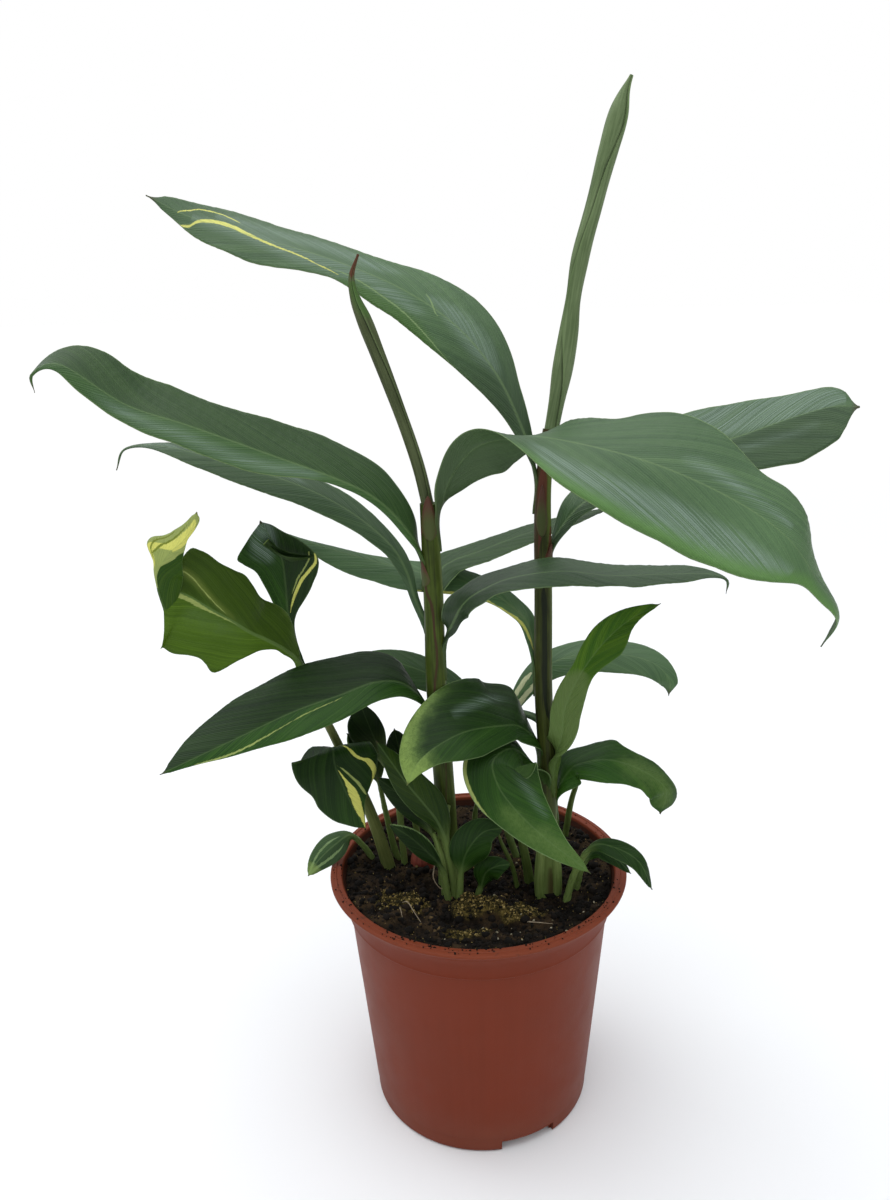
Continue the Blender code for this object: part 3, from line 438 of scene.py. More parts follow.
# Folded parts of leaves, as blades of their own
FOLDS = {
    "leaf_flag_roll": dict(
        line=[
            (-124, -34, 252), (-124, -36, 262), (-125, -39, 272), (-124, -41, 280), (-119, -40, 287),
            (-114, -38, 291), (-110, -36, 296), (-108, -34, 302),
        ],
        face=[(-90, 0), (-90, 0), (-90, 0)],
        low=[0.6, 0.6, 0.6, 0.6, 0.6, 0.6, 0.6, 0.6, 0.6, 1, 2, 4, 10, 10.5, 7.5, 6.5, 6, 5, 4, 2.5, 0.6],
        high=[0.6, 0.6, 0.8, 1.6, 4, 6.5, 8.3, 9.5, 10, 10.4, 10.5, 10.2, 8.8, 7, 5.5, 3, 1.2, 1.1, 1.4,
            1.8, 0.7],
        widest=0.5, stalk=0.02, fold=-22, curl=-10),
    "leaf_upright_roll": dict(
        line=[(-89, 4, 280), (-84, 3, 275), (-79, 2, 272), (-74, 2, 272), (-69, 3, 273)],
        face=[(-90, 50), (-90, 65), (-90, 60)],
        low=[0.6, 1.5, 2.6, 3.4, 3.2, 1.8, 0.6], high=[0.6, 1.5, 2.8, 3.8, 3.6, 2, 0.6],
        widest=0.5, stalk=0.02, fold=30, curl=60),
}

# What a leaf has where its own entry doesn't say
USUAL_LEAF = dict(
    stalk=0.06, base=1, tip=0.8, sides=(1, 1), fold=-6, curl=-4, sheath=15, wave=(0, 1))

BLADE_MIDDLE, BLADE_MARGIN = 0.55, 0.25  # thickness of a blade
STALK_RADIUS = 1.8
LEAST_HALF_WIDTH = 0.6
SEATED = -1.2  # a leaf base is sunk this much into its stem
NARROW = 3.0  # up to this half width a blade is even on both sides
STEM_SIDE_BULGE, OUTER_BULGE = 0.3, 1.1  # how far a leaf base swells to its stem and outwards
CURVE_STEPS = 24  # steps between two points of a smooth line
SEARCH_STEPS = 199  # steps of a stem among which a height is looked up
ROW_LENGTH, FEWEST_ROWS, LEAF_COLUMNS = 1.1, 60, 28
PLEAT, PLEAT_WAVES = 0.16, (3.7, 5.3, 8.9)  # height of the swell between side veins, its lengths
RIPPLE, RIPPLE_LENGTH = 0.0448, 16  # slow waves of the margins: share of the half width, spacing
MIDRIB_WIDTH, MIDRIB_DEPTH = 0.9, 0.3
VEIN_SLANT = 2.3  # how far a side vein runs along for each millimetre outwards
VEIN_SPACING = 2.4

# Colours, linear
# The deep and dark greens are partly painted shade, for leaves in the shade of the others; the fresh and
# vivid greens are partly painted light shining through the blade.
TONES = {  # darker and lighter green, gloss, and how strongly midrib and margin show
    "grey": ((0.036, 0.080, 0.030), (0.062, 0.121, 0.045), 0.32, 0.45, 0.5),
    "mid": ((0.022, 0.058, 0.014), (0.042, 0.090, 0.024), 0.22, 0.4, 0.4),
    "deep": ((0.006, 0.026, 0.002), (0.020, 0.058, 0.006), 0.14, 0.25, 0.25),
    "fresh": ((0.034, 0.074, 0.003), (0.062, 0.120, 0.008), 0.12, 0.4, 0.3),
    "dark": ((0.003, 0.013, 0.001), (0.011, 0.031, 0.003), 0.12, 0.15, 0.12),
    "vivid": ((0.014, 0.050, 0.001), (0.045, 0.095, 0.004), 0.15, 0.3, 0.25),
}
COLOURS = {
    "yellow": (0.62, 0.62, 0.14),
    "cream": (0.60, 0.62, 0.36),
    "lime": (0.21, 0.31, 0.075),
    "haze": (0.075, 0.135, 0.030),
    # painted highlight: the glossy sheen of the blades, streaked along the side veins
    "painted_sheen": (0.20, 0.275, 0.225),
    # painted light: the brighter green band along the big right leaf's lower margin
    "margin": (0.085, 0.190, 0.045),
    "straw": (0.29, 0.35, 0.10),
    "stalk": (0.150, 0.215, 0.060),
    "sheath": (0.045, 0.072, 0.012),
    # painted sunlight: a lighter green on the lit side of the main stems and on the flag leaf
    "painted_sunlight": (0.110, 0.155, 0.026),
    "maroon": (0.050, 0.030, 0.013),
    "underside": (0.100, 0.160, 0.042),
    "dull": (0.045, 0.080, 0.018),
    "olive": (0.16, 0.20, 0.020),
    "fresh": (0.05, 0.12, 0.022),
    "pale": (0.17, 0.26, 0.10),
    "brown": (0.050, 0.022, 0.012),
    "rust": (0.10, 0.030, 0.018),
    "black": (0.006, 0.010, 0.005),
}

SOFT = {  # blur of the edges of stripes of these colours
    "lime": 5.0, "haze": 6.0, "fresh": 2.5, "underside": 4.0, "painted_sheen": 3.0, "margin": 3.5, "painted_sunlight": 1.8,
    "maroon": 1.6,
}

# Looks of the leaves. tone: its greens. light: strength of the two sides of the blade,
# painted light and shade. glow: strength at even steps along it, painted light and shade.
# midrib: how broad the pale midrib is. margin: how strongly the pale margin shows. stripes:
# colour, then along (0 to 1), across (-1 to 1) and half width of its points.
LEAF_LOOKS = {
    "leaf_top_left": dict(tone="grey", glow=[0.65, 0.65, 0.75, 1.1, 1.25, 1.2, 1.1, 1.05, 1.0], stripes=[
        ("painted_sheen", [
            (0.42, -0.2, 0), (0.5, -0.4, 3), (0.6, -0.35, 4), (0.7, -0.3, 3.5), (0.82, 0, 3), (0.92, 0, 0)]),
        ("painted_sheen", [(0.5, 0.6, 0), (0.6, 0.5, 3), (0.75, 0.5, 3), (0.88, 0.5, 0)]),
        ("painted_sheen", [(0.24, 0.1, 0), (0.31, 0.1, 3), (0.37, 0.15, 5), (0.43, 0.2, 3), (0.48, 0.2, 0)]),
        ("fresh", [(0.34, -1, 0.3), (0.42, -0.98, 3), (0.53, -0.95, 5), (0.6, -0.9, 2.5), (0.64, -0.9, 0)]),
        ("pale", [
            (0.34, -0.98, 0.1), (0.42, -0.82, 0.25), (0.53, -0.6, 0.3), (0.6, -0.5, 0.25), (0.66, -0.5, 0)]),
        ("yellow", [
            (0.62, -0.72, 0), (0.66, -0.6, 0.2), (0.72, -0.28, 0.3), (0.78, -0.1, 0.5), (0.82, 0.05, 0.9),
            (0.86, 0.17, 1.2), (0.89, 0.08, 1.0), (0.915, -0.6, 0.7), (0.93, -1, 0.3)]),
        ("yellow", [
            (0.82, 0.42, 0), (0.85, 0.55, 0.35), (0.89, 0.66, 0.4), (0.92, 0.4, 0.4), (0.945, -0.3, 0.2)]),
        ("pale", [(0.43, -0.14, 0), (0.45, 0, 0.4), (0.47, 0.2, 0.3), (0.48, 0.26, 0)]),
    ]),
    "leaf_big_right": dict(
        tone="grey", light=(1.0, 1.05), glow=[0.4, 0.4, 0.7, 1.0, 1.1, 1.15, 1.3, 1.3, 1.2],
        margin=0.75, stripes=[
            # painted light: a brighter green band along the lower margin
            ("margin", [(0.28, 1, 0), (0.4, 1, 4.5), (0.55, 1, 6), (0.75, 1, 6.5), (0.88, 1, 4), (1, 1, 0)]),
            ("painted_sheen", [
                (0.3, 0.5, 0), (0.38, 0.6, 3), (0.5, 0.6, 4.5), (0.62, 0.6, 5.5), (0.74, 0.6, 4),
                (0.82, 0.6, 0)]),
            ("painted_sheen", [(0.55, -0.2, 0), (0.62, -0.3, 2), (0.7, -0.3, 2), (0.78, -0.3, 0)]),
        ]),
    "leaf_right": dict(tone="grey", light=(1.1, 0.75), stripes=[
        ("painted_sheen", [(0.35, -0.5, 0), (0.5, -0.55, 5), (0.65, -0.55, 8), (0.85, -0.5, 7), (0.97, -0.5, 0)]),
        ("painted_sheen", [(0.6, 0.4, 0), (0.7, 0.35, 0.8), (0.84, 0.35, 0.8), (0.9, 0.35, 0)]),
    ]),
    "leaf_back": dict(tone="mid", light=(0.85, 0.85), margin=0.8),
    "leaf_left": dict(tone="mid", light=(1.35, 0.85), margin=0.7, stripes=[
        ("painted_sheen", [(0.3, -0.2, 0), (0.4, -0.5, 1.5), (0.55, -0.6, 2.2), (0.7, -0.5, 1.5), (0.85, -0.5, 0)]),
    ]),
    "leaf_left_low": dict(tone="grey", light=(0.95, 0.85), stripes=[
        ("painted_sheen", [(0.5, 0.3, 0), (0.62, 0.4, 2), (0.8, 0.4, 2), (0.92, 0.4, 0)]),
    ]),
    "leaf_cross": dict(tone="grey", light=(1.5, 1.45), stripes=[
        ("yellow", [
            (0.30, -0.97, 0), (0.38, -0.95, 0.9), (0.46, -0.95, 0.9), (0.54, -0.95, 0.5), (0.6, -1, 0)]),
        ("yellow", [
            (0.12, -0.2, 0), (0.17, -0.35, 0.5), (0.24, -0.75, 0.6), (0.3, -0.95, 0.5), (0.34, -1, 0)]),
        ("lime", [(0.1, 0.3, 0), (0.17, 0.1, 0.5), (0.26, -0.3, 0.5), (0.32, -0.5, 0)]),
    ]),
    "leaf_flag": dict(tone="fresh", light=(1.25, 0.7), midrib=2, stripes=[
        ("painted_sunlight", [(0.58, 0.02, 0), (0.67, 0.08, 0.5), (0.82, 0.26, 1.0), (0.94, 0.46, 1.4), (0.98, 0.5, 0)]),
        ("straw", [
            (0.66, 0.05, 0), (0.72, 0.1, 0.15), (0.84, 0.27, 0.22), (0.94, 0.46, 0.3), (0.97, 0.5, 0)]),
        ("haze", [(0.5, -0.1, 0), (0.6, -0.15, 1.2), (0.75, -0.2, 2), (0.88, -0.25, 0)]),
        ("straw", [
            (0.58, 0, 0), (0.68, -0.02, 0.2), (0.78, -0.04, 0.5), (0.86, -0.05, 0.9), (0.95, -0.05, 0.9),
            (1, 0, 0)]),
        ("lime", [(0.3, 0.97, 0.4), (0.38, 0.97, 0.7), (0.45, 1, 0)]),
    ]),
    "leaf_flag_roll": dict(tone="vivid", midrib=0.3, stripes=[
        ("straw", [
            (0.38, -0.7, 0.5), (0.48, -0.7, 3), (0.58, -0.6, 7), (0.7, -0.5, 6), (0.85, -0.5, 4),
            (1, -0.5, 2)]),
        ("yellow", [(0.5, -0.9, 0), (0.6, -0.8, 2), (0.7, -0.2, 2), (0.85, -0.1, 1.4), (0.95, 0, 0)]),
        ("olive", [(0.55, -0.9, 0), (0.62, -0.5, 0.5), (0.75, -0.5, 0.4), (0.9, -0.6, 0)]),
        ("olive", [(0.52, -0.6, 0), (0.6, -0.75, 0.4), (0.7, -0.8, 0.3), (0.8, -0.9, 0)]),
    ]),
    "leaf_upright": dict(tone="deep", light=(1.5, 0.7), midrib=1.6, stripes=[
        ("yellow", [
            (0.44, 0.3, 0.2), (0.51, 0.38, 0.5), (0.6, 0.5, 0.8), (0.69, 0.72, 0.9), (0.74, 0.92, 0.6),
            (0.77, 1, 0)]),
        ("straw", [(0.52, 0.25, 0), (0.6, 0.36, 0.3), (0.68, 0.52, 0.4), (0.75, 0.75, 0.4), (0.78, 0.9, 0)]),
        ("painted_sheen", [(0.7, -0.4, 0), (0.8, -0.4, 3), (0.9, -0.3, 5), (1, -0.2, 4)]),
    ]),
    "leaf_upright_roll": dict(tone="dark", margin=0.6),
    "leaf_low_left": dict(tone="deep", light=(1.55, 0.65), glow=[0.6, 0.7, 0.85, 1, 1.05, 1.1], stripes=[
        ("straw", [
            (0.4, -0.1, 0), (0.5, -0.2, 0.12), (0.6, -0.32, 0.16), (0.69, -0.55, 0.28), (0.77, -0.8, 0.36),
            (0.84, -0.92, 0.36), (0.9, -0.95, 0)]),
    ]),
    "leaf_behind": dict(tone="mid"),
    "leaf_dark": dict(tone="dark"),
    "leaf_shadow": dict(tone="dark"),
    "leaf_round": dict(tone="deep", light=(1.15, 0.8), margin=0.5, stripes=[
        ("haze", [(0.5, 1, 0), (0.68, 0.95, 3), (0.8, 0.85, 6), (0.92, 0.5, 9), (1, 0, 9)]),
        ("lime", [(0.58, 1, 0), (0.72, 0.98, 2), (0.84, 0.92, 4), (0.92, 0.7, 5.5), (1, 0, 6)]),
        ("painted_sheen", [(0.28, 0.6, 0), (0.4, 0.6, 1), (0.56, 0.46, 1.5), (0.66, 0.4, 0)]),
        ("lime", [(0.62, -1, 0), (0.76, -0.98, 0.3), (0.88, -0.9, 1.3), (0.95, -0.55, 2.4), (1, -0.2, 1.8)]),
    ]),
    "leaf_hanging": dict(tone="deep", glow=[0.85, 0.8, 0.8, 1.05, 1.45, 1.9, 2.2], margin=0.8, stripes=[
        ("straw", [(0.4, 0.95, 0), (0.46, 0.94, 1), (0.52, 0.95, 1.1), (0.58, 0.96, 0.8), (0.64, 1, 0)]),
        ("haze", [(0.56, 0.3, 0), (0.66, 0.3, 2.5), (0.75, 0.35, 5), (0.85, 0.1, 6.5), (1, 0, 7)]),
        ("painted_sheen", [(0.44, -0.5, 0), (0.55, -0.5, 0.8), (0.68, -0.6, 1.0), (0.78, -0.7, 0)]),
    ]),
    "leaf_twisted": dict(tone="vivid", light=(1.8, 1.6), stripes=[
        ("underside", [(0.0, 0, 12), (0.3, 0, 12), (0.48, 0, 10), (0.56, 0.1, 5), (0.6, 0.2, 0)]),
    ]),
    "leaf_arching": dict(tone="grey", light=(1.4, 1.35), stripes=[
        ("cream", [(0.36, -0.4, 0), (0.46, -0.4, 1), (0.54, -0.35, 1.2), (0.58, -0.3, 0)]),
        ("cream", [(0.38, 0.5, 0), (0.47, 0.5, 1.1), (0.55, 0.55, 1.1), (0.6, 0.6, 0)]),
    ]),
    "leaf_wavy": dict(tone="deep", light=(1.35, 1.75), stripes=[
        ("haze", [(0.5, 0, 0), (0.64, 0, 3), (0.76, 0, 5), (0.88, 0, 4), (0.97, 0, 0)]),
    ]),
    "leaf_rim": dict(tone="deep"),
    "leaf_rim_small": dict(tone="deep"),
    "leaf_mid_right": dict(tone="grey", glow=[0.35, 0.4, 0.45, 0.75, 0.95, 0.9, 0.9]),
    "leaf_striped": dict(tone="dark", light=(1.5, 1.3), glow=[1, 1, 1, 1.1, 1.5, 1.8], margin=0.4, stripes=[
        ("yellow", [
            (0.45, -0.03, 0), (0.55, -0.08, 0.4), (0.64, -0.15, 1.2), (0.74, -0.26, 2.0), (0.84, -0.4, 1.6),
            (0.93, -0.5, 0.7), (1, -0.5, 0)]),
        ("straw", [
            (0.43, -0.02, 0), (0.5, -0.15, 0.35), (0.57, -0.26, 0.4), (0.64, -0.4, 0.6), (0.72, -0.65, 0.5),
            (0.77, -0.95, 0)]),
        ("yellow", [
            (0.29, -0.05, 0.1), (0.32, -0.3, 0.4), (0.38, -0.46, 0.9), (0.46, -0.63, 1.2), (0.55, -0.8, 1.4),
            (0.62, -0.92, 1.1), (0.69, -0.98, 0.5), (0.73, -1, 0)]),
    ]),
    "leaf_pale_edge": dict(tone="dark", stripes=[
        ("pale", [(0.62, -0.97, 0), (0.7, -0.95, 0.4), (0.9, -0.95, 0.4), (1, -0.8, 0)]),
    ]),
    "leaf_left_rim": dict(tone="mid", light=(0.8, 1.1), stripes=[
        ("pale", [(0.55, 0.35, 0), (0.65, 0.4, 0.4), (0.85, 0.35, 0.5), (1, 0, 0.3)]),
        ("pale", [(0.55, -0.45, 0), (0.68, -0.5, 0.5), (0.85, -0.45, 0.6), (1, 0, 0.4)]),
        ("lime", [(0.86, 0, 0), (0.93, 0, 2.5), (1, 0, 2)]),
    ]),
    "leaf_bright": dict(tone="vivid", light=(0.5, 0.6), midrib=1.3),
    "leaf_dark_low": dict(tone="dark"),
    "leaf_low": dict(tone="dark", stripes=[
        ("pale", [(0.45, 0.97, 0), (0.55, 0.95, 0.4), (0.85, 0.95, 0.4), (1, 0.6, 0)]),
    ]),
    "leaf_centre": dict(tone="deep"),
    "leaf_small": dict(tone="deep"),
}

STALK_COLOURS = ((0.070, 0.110, 0.022), (0.130, 0.180, 0.050))

# Looks of the stems: darker and lighter colour, how far up their pale foot goes, and stripes
# with the place across as a share of half the way round from the front, right side positive.
# The lighter green stripe down the right side of each main stem is painted sunlight.
STEM_LOOKS = {
    "left_stem": dict(colours=((0.022, 0.033, 0.004), (0.070, 0.104, 0.014)), pale=0.3, stripes=[
        ("painted_sunlight", [(0.1, 0.4, 1.5), (0.6, 0.42, 1.6), (0.95, 0.4, 1.2), (1, 0.4, 0)]),
        ("brown", [
            (0.45, -0.35, 0.2), (0.52, -0.18, 0.3), (0.55, -0.1, 0.4), (0.61, 0, 0.45), (0.66, 0.06, 0.5),
            (0.72, 0, 0.5), (0.77, -0.05, 0.6), (0.81, -0.23, 0.8), (0.865, -0.4, 0.8), (0.9, -0.45, 0)]),
        ("brown", [(0.25, 0.0, 0), (0.3, 0.05, 0.25), (0.4, 0.12, 0.25), (0.5, 0.2, 0)]),
        ("rust", [(0.86, -0.5, 0), (0.92, -0.45, 0.5), (0.96, -0.2, 1.2), (1, 0, 1.6)]),
    ]),
    "right_stem": dict(colours=((0.019, 0.022, 0.006), (0.056, 0.074, 0.012)), pale=0.32, stripes=[
        ("painted_sunlight", [(0.1, 0.42, 1.2), (0.5, 0.42, 1), (0.75, 0.38, 1.8), (0.95, 0.3, 2.2), (1, 0.3, 1)]),
        ("maroon", [
            (0.62, -0.4, 0), (0.74, -0.35, 1.2), (0.86, -0.3, 2.2), (0.97, -0.25, 2.4), (1, -0.2, 1)]),
        ("rust", [
            (0.74, -0.2, 0), (0.78, -0.17, 0.4), (0.82, -0.08, 1.2), (0.88, -0.07, 1.9), (0.92, -0.07, 1.2),
            (0.96, -0.07, 0)]),
        ("rust", [(0.70, -0.02, 0), (0.73, 0, 0.8), (0.78, 0.3, 1.4), (0.82, 0.36, 0)]),
        ("black", [
            (0.3, 0.3, 0), (0.41, 0.22, 0.5), (0.45, 0.06, 0.8), (0.56, 0.03, 1.2), (0.66, 0, 1.2),
            (0.7, -0.02, 0)]),
        ("maroon", [(0, 0.1, 2.2), (0.05, 0.08, 1.6), (0.1, 0.05, 0)]),
    ]),
    "shoot_a": dict(colours=((0.085, 0.110, 0.028), (0.155, 0.175, 0.055))),
    "centre_stalk": dict(colours=STALK_COLOURS),
    "thin_stalk": dict(colours=STALK_COLOURS),
    "right_stalk": dict(colours=STALK_COLOURS),
    "back_stalk": dict(colours=((0.070, 0.105, 0.024), (0.120, 0.165, 0.048))),
    "rhizome_bud": dict(colours=((0.150, 0.030, 0.020), (0.330, 0.090, 0.060))),
}
STEM_RINGS, STEM_SIDES, STALK_SIDES = 150, 48, 24

# Brown tips of the leaf sheaths: stem, lowest and highest point, azimuth, and half the angle
# that it covers at its foot
SHEATH_TIPS = [
    ("left_stem", 284, 303, -90, 75),
    ("left_stem", 264, 275, -150, 60),
    ("right_stem", 282, 304, -102, 50),
    ("right_stem", 264, 279, -40, 60),
]
TIP_ROWS, TIP_COLUMNS = 24, 16

# Sheaths of the low clusters of small leaves, which the frame leaves out
CLUSTER_SHEATHS = [
    dict(line=[(-12, -15, 103), (-13, -15, 118), (-15, -15, 136), (-15, -15, 150), (-13, -15, 160)],
        radius=[1.9, 2.3, 2.7, 2.0, 0.8]),
    dict(line=[(-14, -16, 103), (-15, -16, 118), (-17, -17, 134), (-20, -18, 148)],
        radius=[1.4, 1.9, 2.0, 0.8]),
    dict(line=[(-11, -17, 103), (-11, -17, 116), (-12, -17, 128), (-13, -17, 141)],
        radius=[1.3, 1.7, 1.8, 0.7]),
    dict(line=[(35, -14, 103), (36, -15, 118), (35, -15, 136), (34, -14, 150)],
        radius=[2.0, 2.5, 2.2, 0.8]),
    dict(line=[(29, -14, 103), (28, -15, 120), (29, -15, 140), (30, -15, 156)],
        radius=[2.2, 2.5, 2.1, 0.8]),
]
CLUSTER_RINGS = 60
CLUSTER_COLOURS = ((0.100, 0.150, 0.034), (0.210, 0.285, 0.090))

# Rolled leaves. seam: azimuth of the free edge along the leaf, base to tip. step: how far that
# edge stands proud, as a share of the radius.
SPEARS = {
    "left_spear": dict(
        seam=[-60, -50, -45, -50, -70, -80, -60], step=0.16,
        colours=((0.048, 0.062, 0.024), (0.090, 0.112, 0.048)),
        stripes=[
            ("rust", [(0.9, 0, 0), (0.94, 0, 4), (1, 0, 9)]),
            ("fresh", [(0.72, 0.3, 0), (0.8, 0.2, 1.8), (0.9, 0.1, 1.2)])]),
    "right_spear": dict(
        seam=[-60, -70, -110, -150, -120, -100, -80, -40, -70], step=0.2,
        colours=((0.085, 0.128, 0.052), (0.165, 0.225, 0.105)),
        stripes=[
            ("pale", [(0.7, 0.6, 0), (0.8, 0.45, 0.4), (0.92, 0.3, 0.5), (1, 0.3, 0)])]),
}
SPEAR_RINGS, SPEAR_SIDES = 150, 56

# Stage, in metres
FLOOR_RADIUS = 14.0
FLOOR_FADE = (0.35, 2.2)  # where the floor turns into the white surround
SKY = [(0.0, (0.10, 0.10, 0.10)), (1.0, (1.50, 1.54, 1.60))]  # at the horizon and overhead
BACKDROP = (1.0, 1.0, 1.0, 1.0)  # colour of the surround behind the plant
LIGHTS = [  # name, place, aim, size, power, colour
    ("overhead", (-0.3, -0.1, 1.7), (0, 0, 0.25), (1.6, 1.2), 8, (1.0, 1.0, 1.0)),
    ("window", (-1.5, 0.9, 1.5), (0, 0, 0.3), (1.2, 1.2), 6, (0.92, 0.97, 1.0)),
    ("front_fill", (0.7, -1.7, 1.2), (0, 0, 0.25), (1.4, 1.0), 2, (1.0, 0.99, 0.97)),
]


def clear_scene():
    for thing in list(bpy.data.objects):
        bpy.data.objects.remove(thing, do_unlink=True)


class Look:
    """A Principled material, with short ways to add nodes to it."""

    def __init__(self, name, roughness=0.5, specular=0.5):
        self.material = bpy.data.materials.new(name)
        self.material.use_nodes = True
        self.tree = self.material.node_tree
        self.shader = self.tree.nodes["Principled BSDF"]
        self.shader.inputs["Roughness"].default_value = roughness
        self.shader.inputs["Specular IOR Level"].default_value = specular

    def feed(self, socket, value):
        if isinstance(value, bpy.types.NodeSocket):
            self.tree.links.new(value, socket)
        else:
            socket.default_value = value

    def finish(self, name, value):
        """Feeds one of the shader's own inputs."""
        self.feed(self.shader.inputs[name], value)

    def node(self, kind, inputs=(), **settings):
        made = self.tree.nodes.new("ShaderNode" + kind)
        for key, value in settings.items():
            setattr(made, key, value)
        for key, value in dict(inputs).items():
            self.feed(made.inputs[key], value)
        return made

    def math(self, operation, a, b=0.0):
        return self.node("Math", {0: a, 1: b}, operation=operation).outputs[0]

    def times(self, a, b):
        return self.math("MULTIPLY", a, b)

    def plus(self, a, b):
        return self.math("ADD", a, b)

    def minus(self, a, b):
        return self.math("SUBTRACT", a, b)

    def size(self, a):
        """The value without its sign."""
        return self.math("ABSOLUTE", a)

    def between(self, value, low, high, start=0.0, end=1.0):
        """A smooth step from start to end while value goes from low to high."""
        inputs = {"Value": value, "From Min": low, "From Max": high, "To Min": start, "To Max": end}
        return self.node("MapRange", inputs, interpolation_type="SMOOTHSTEP").outputs[0]

    def mix(self, share, a, b, how="MIX"):
        made = self.node("Mix", {0: share}, data_type="RGBA", blend_type=how)
        for index, colour in ((6, a), (7, b)):
            self.feed(made.inputs[index], (*colour, 1) if isinstance(colour, tuple) else colour)
        return made.outputs[2]

    def scaled(self, colour, strength):
        """The colour, made stronger or weaker."""
        return self.mix(1.0, colour, self.vector(strength, strength, strength), "MULTIPLY")

    def values(self, *names):
        """The values that the mesh holds at its points under these names."""
        return [self.node("Attribute", attribute_name=name).outputs["Fac"] for name in names]

    def place(self):
        return self.node("TexCoord").outputs["Object"]

    def vector(self, x, y=0.0, z=0.0):
        return self.node("CombineXYZ", {0: x, 1: y, 2: z}).outputs[0]

    def noise(self, vector, scale, detail=3.0, roughness=0.55):
        inputs = {"Vector": vector, "Scale": scale, "Detail": detail, "Roughness": roughness}
        return self.node("TexNoise", inputs).outputs["Fac"]

    def curve(self, value, points):
        """A smooth curve through points whose x and y lie from 0 to 1."""
        made = self.node("FloatCurve", {"Value": value})
        line = made.mapping.curves[0]
        for point, (x, y) in zip((line.points[0], line.points[-1]), (points[0], points[-1])):
            point.location = (x, y)
        for x, y in points[1:-1]:
            line.points.new(x, y)
        made.mapping.update()
        return made.outputs[0]

    def bump(self, height, depth):
        """Relief of a height from 0 to 1, its depth in metres."""
        self.finish("Normal", self.node("Bump", {"Height": height, "Distance": depth}).outputs[0])

    def stripe(self, points, along, across, reach, ragged, soft):
        """How much of a stripe lies here, from 0 to 1. Its points hold along, across and half
        width in millimetres, and soft is the blur of its edges."""
        widest = max(half for _, _, half in points)
        begin, end = points[0][0], points[-1][0]
        padded = [(max(begin - 0.001, 0), *points[0][1:]), *points]
        centre = self.curve(along, [(t, (s + 1) / 2) for t, s, _ in padded])
        half = self.times(self.curve(along, [(t, w / widest) for t, _, w in padded]), widest)
        offset = self.size(self.plus(self.minus(across, self.times(centre, 2.0)), 1.0))
        distance = self.plus(self.times(offset, reach), ragged)
        inside = self.between(self.minus(distance, half), -soft, soft, 1.0, 0.0)
        wide = self.between(half, 0.03, max(0.4 * soft, 0.06))
        here = self.times(self.math("GREATER_THAN", along, begin), self.math("LESS_THAN", along, end))
        return self.times(self.times(inside, wide), here)


def add_object(name, data, look, collection=HOME):
    made = bpy.data.objects.new(name, data)
    data.materials.append(look)
    bpy.data.collections[collection].objects.link(made)
    return made


def dress(piece, slot, *nodes):
    """The piece rides with the plant and stands for these solids."""
    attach(piece, "root")
    if nodes:
        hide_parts(*nodes)


def new_mesh(name, points, faces, **values):
    """A smooth mesh from points in millimetres, which keeps these values at its points."""
    mesh = bpy.data.meshes.new(name)
    corners = [tuple(map(int, face)) for face in faces]
    mesh.from_pydata((np.array(points) * MM).tolist(), [], corners)
    for key, numbers in values.items():
        layer = mesh.attributes.new(key, "FLOAT", "POINT")
        layer.data.foreach_set("value", np.asarray(numbers, np.float32).ravel())
    mesh.shade_smooth()
    return mesh


def unit(vectors):
    return vectors / np.linalg.norm(vectors, axis=-1, keepdims=True)


def direction(azimuth, elevation):
    a, e = math.radians(azimuth), math.radians(elevation)
    return np.array([math.cos(e) * math.cos(a), math.cos(e) * math.sin(a), math.sin(e)])


def on_circle(radius, angle):
    return radius * math.cos(angle), radius * math.sin(angle)


def even(count):
    """The shares from 0 to 1 in that many even steps."""
    return np.linspace(0, 1, count + 1)


def spread(values, count):
    """The values at the ends of that many even steps, on straight lines between them."""
    return np.interp(even(count), even(len(values) - 1), values)


def hermite(a, b, c, d, t):
    """From b at t = 0 to c at t = 1 on a smooth curve that a and d bend."""
    square, cube = a - 2.5 * b + 2 * c - d / 2, 1.5 * (b - c) + (d - a) / 2
    return b + (c - a) * t / 2 + square * t**2 + cube * t**3


def rounded(values, t):
    """A smooth curve through values at even steps, read at the shares t."""
    v = np.array([values[0], *values, values[-1]], float)
    place = np.clip(np.array(t) * (len(values) - 1), 0, len(values) - 1.001)
    k = place.astype(int)
    return hermite(v[k], v[k + 1], v[k + 2], v[k + 3], place - k)


def smooth_line(points, steps):
    """A smooth curve through the points in even steps, the place of each end of a step among
    the points (0 at the first, 1 at the second and so on), and the curve's length."""
    p = np.array(points, float)
    p = np.vstack([2 * p[0] - p[1], p, 2 * p[-1] - p[-2]])
    t = np.linspace(0, 1, CURVE_STEPS, endpoint=False)[:, None]
    pieces = [hermite(a, b, c, d, t) for a, b, c, d in zip(p, p[1:], p[2:], p[3:])]
    fine = np.vstack([*pieces, p[-2:-1]])
    along = np.concatenate([[0], np.cumsum(np.linalg.norm(np.diff(fine, axis=0), axis=1))])
    places = even(steps) * along[-1]
    line = np.stack([np.interp(places, along, fine[:, k]) for k in range(3)], axis=1)
    return line, np.interp(places, along, np.arange(len(fine)) / CURVE_STEPS), along[-1]


def smoothed(line, turns):
    """The line with each inner point drawn to the middle of its neighbours, several times."""
    line = line.copy()
    for _ in range(turns):
        line[1:-1] = (line[:-2] + 2 * line[1:-1] + line[2:]) / 4
    return line


def stem_at(name, height):
    """Centre and radius of a stem at a height."""
    line, _, _ = smooth_line(STEMS[name]["line"], SEARCH_STEPS)
    nearest = int(np.argmin(abs(line[:, 2] - height)))
    return line[nearest], spread(STEMS[name]["radius"], SEARCH_STEPS)[nearest]


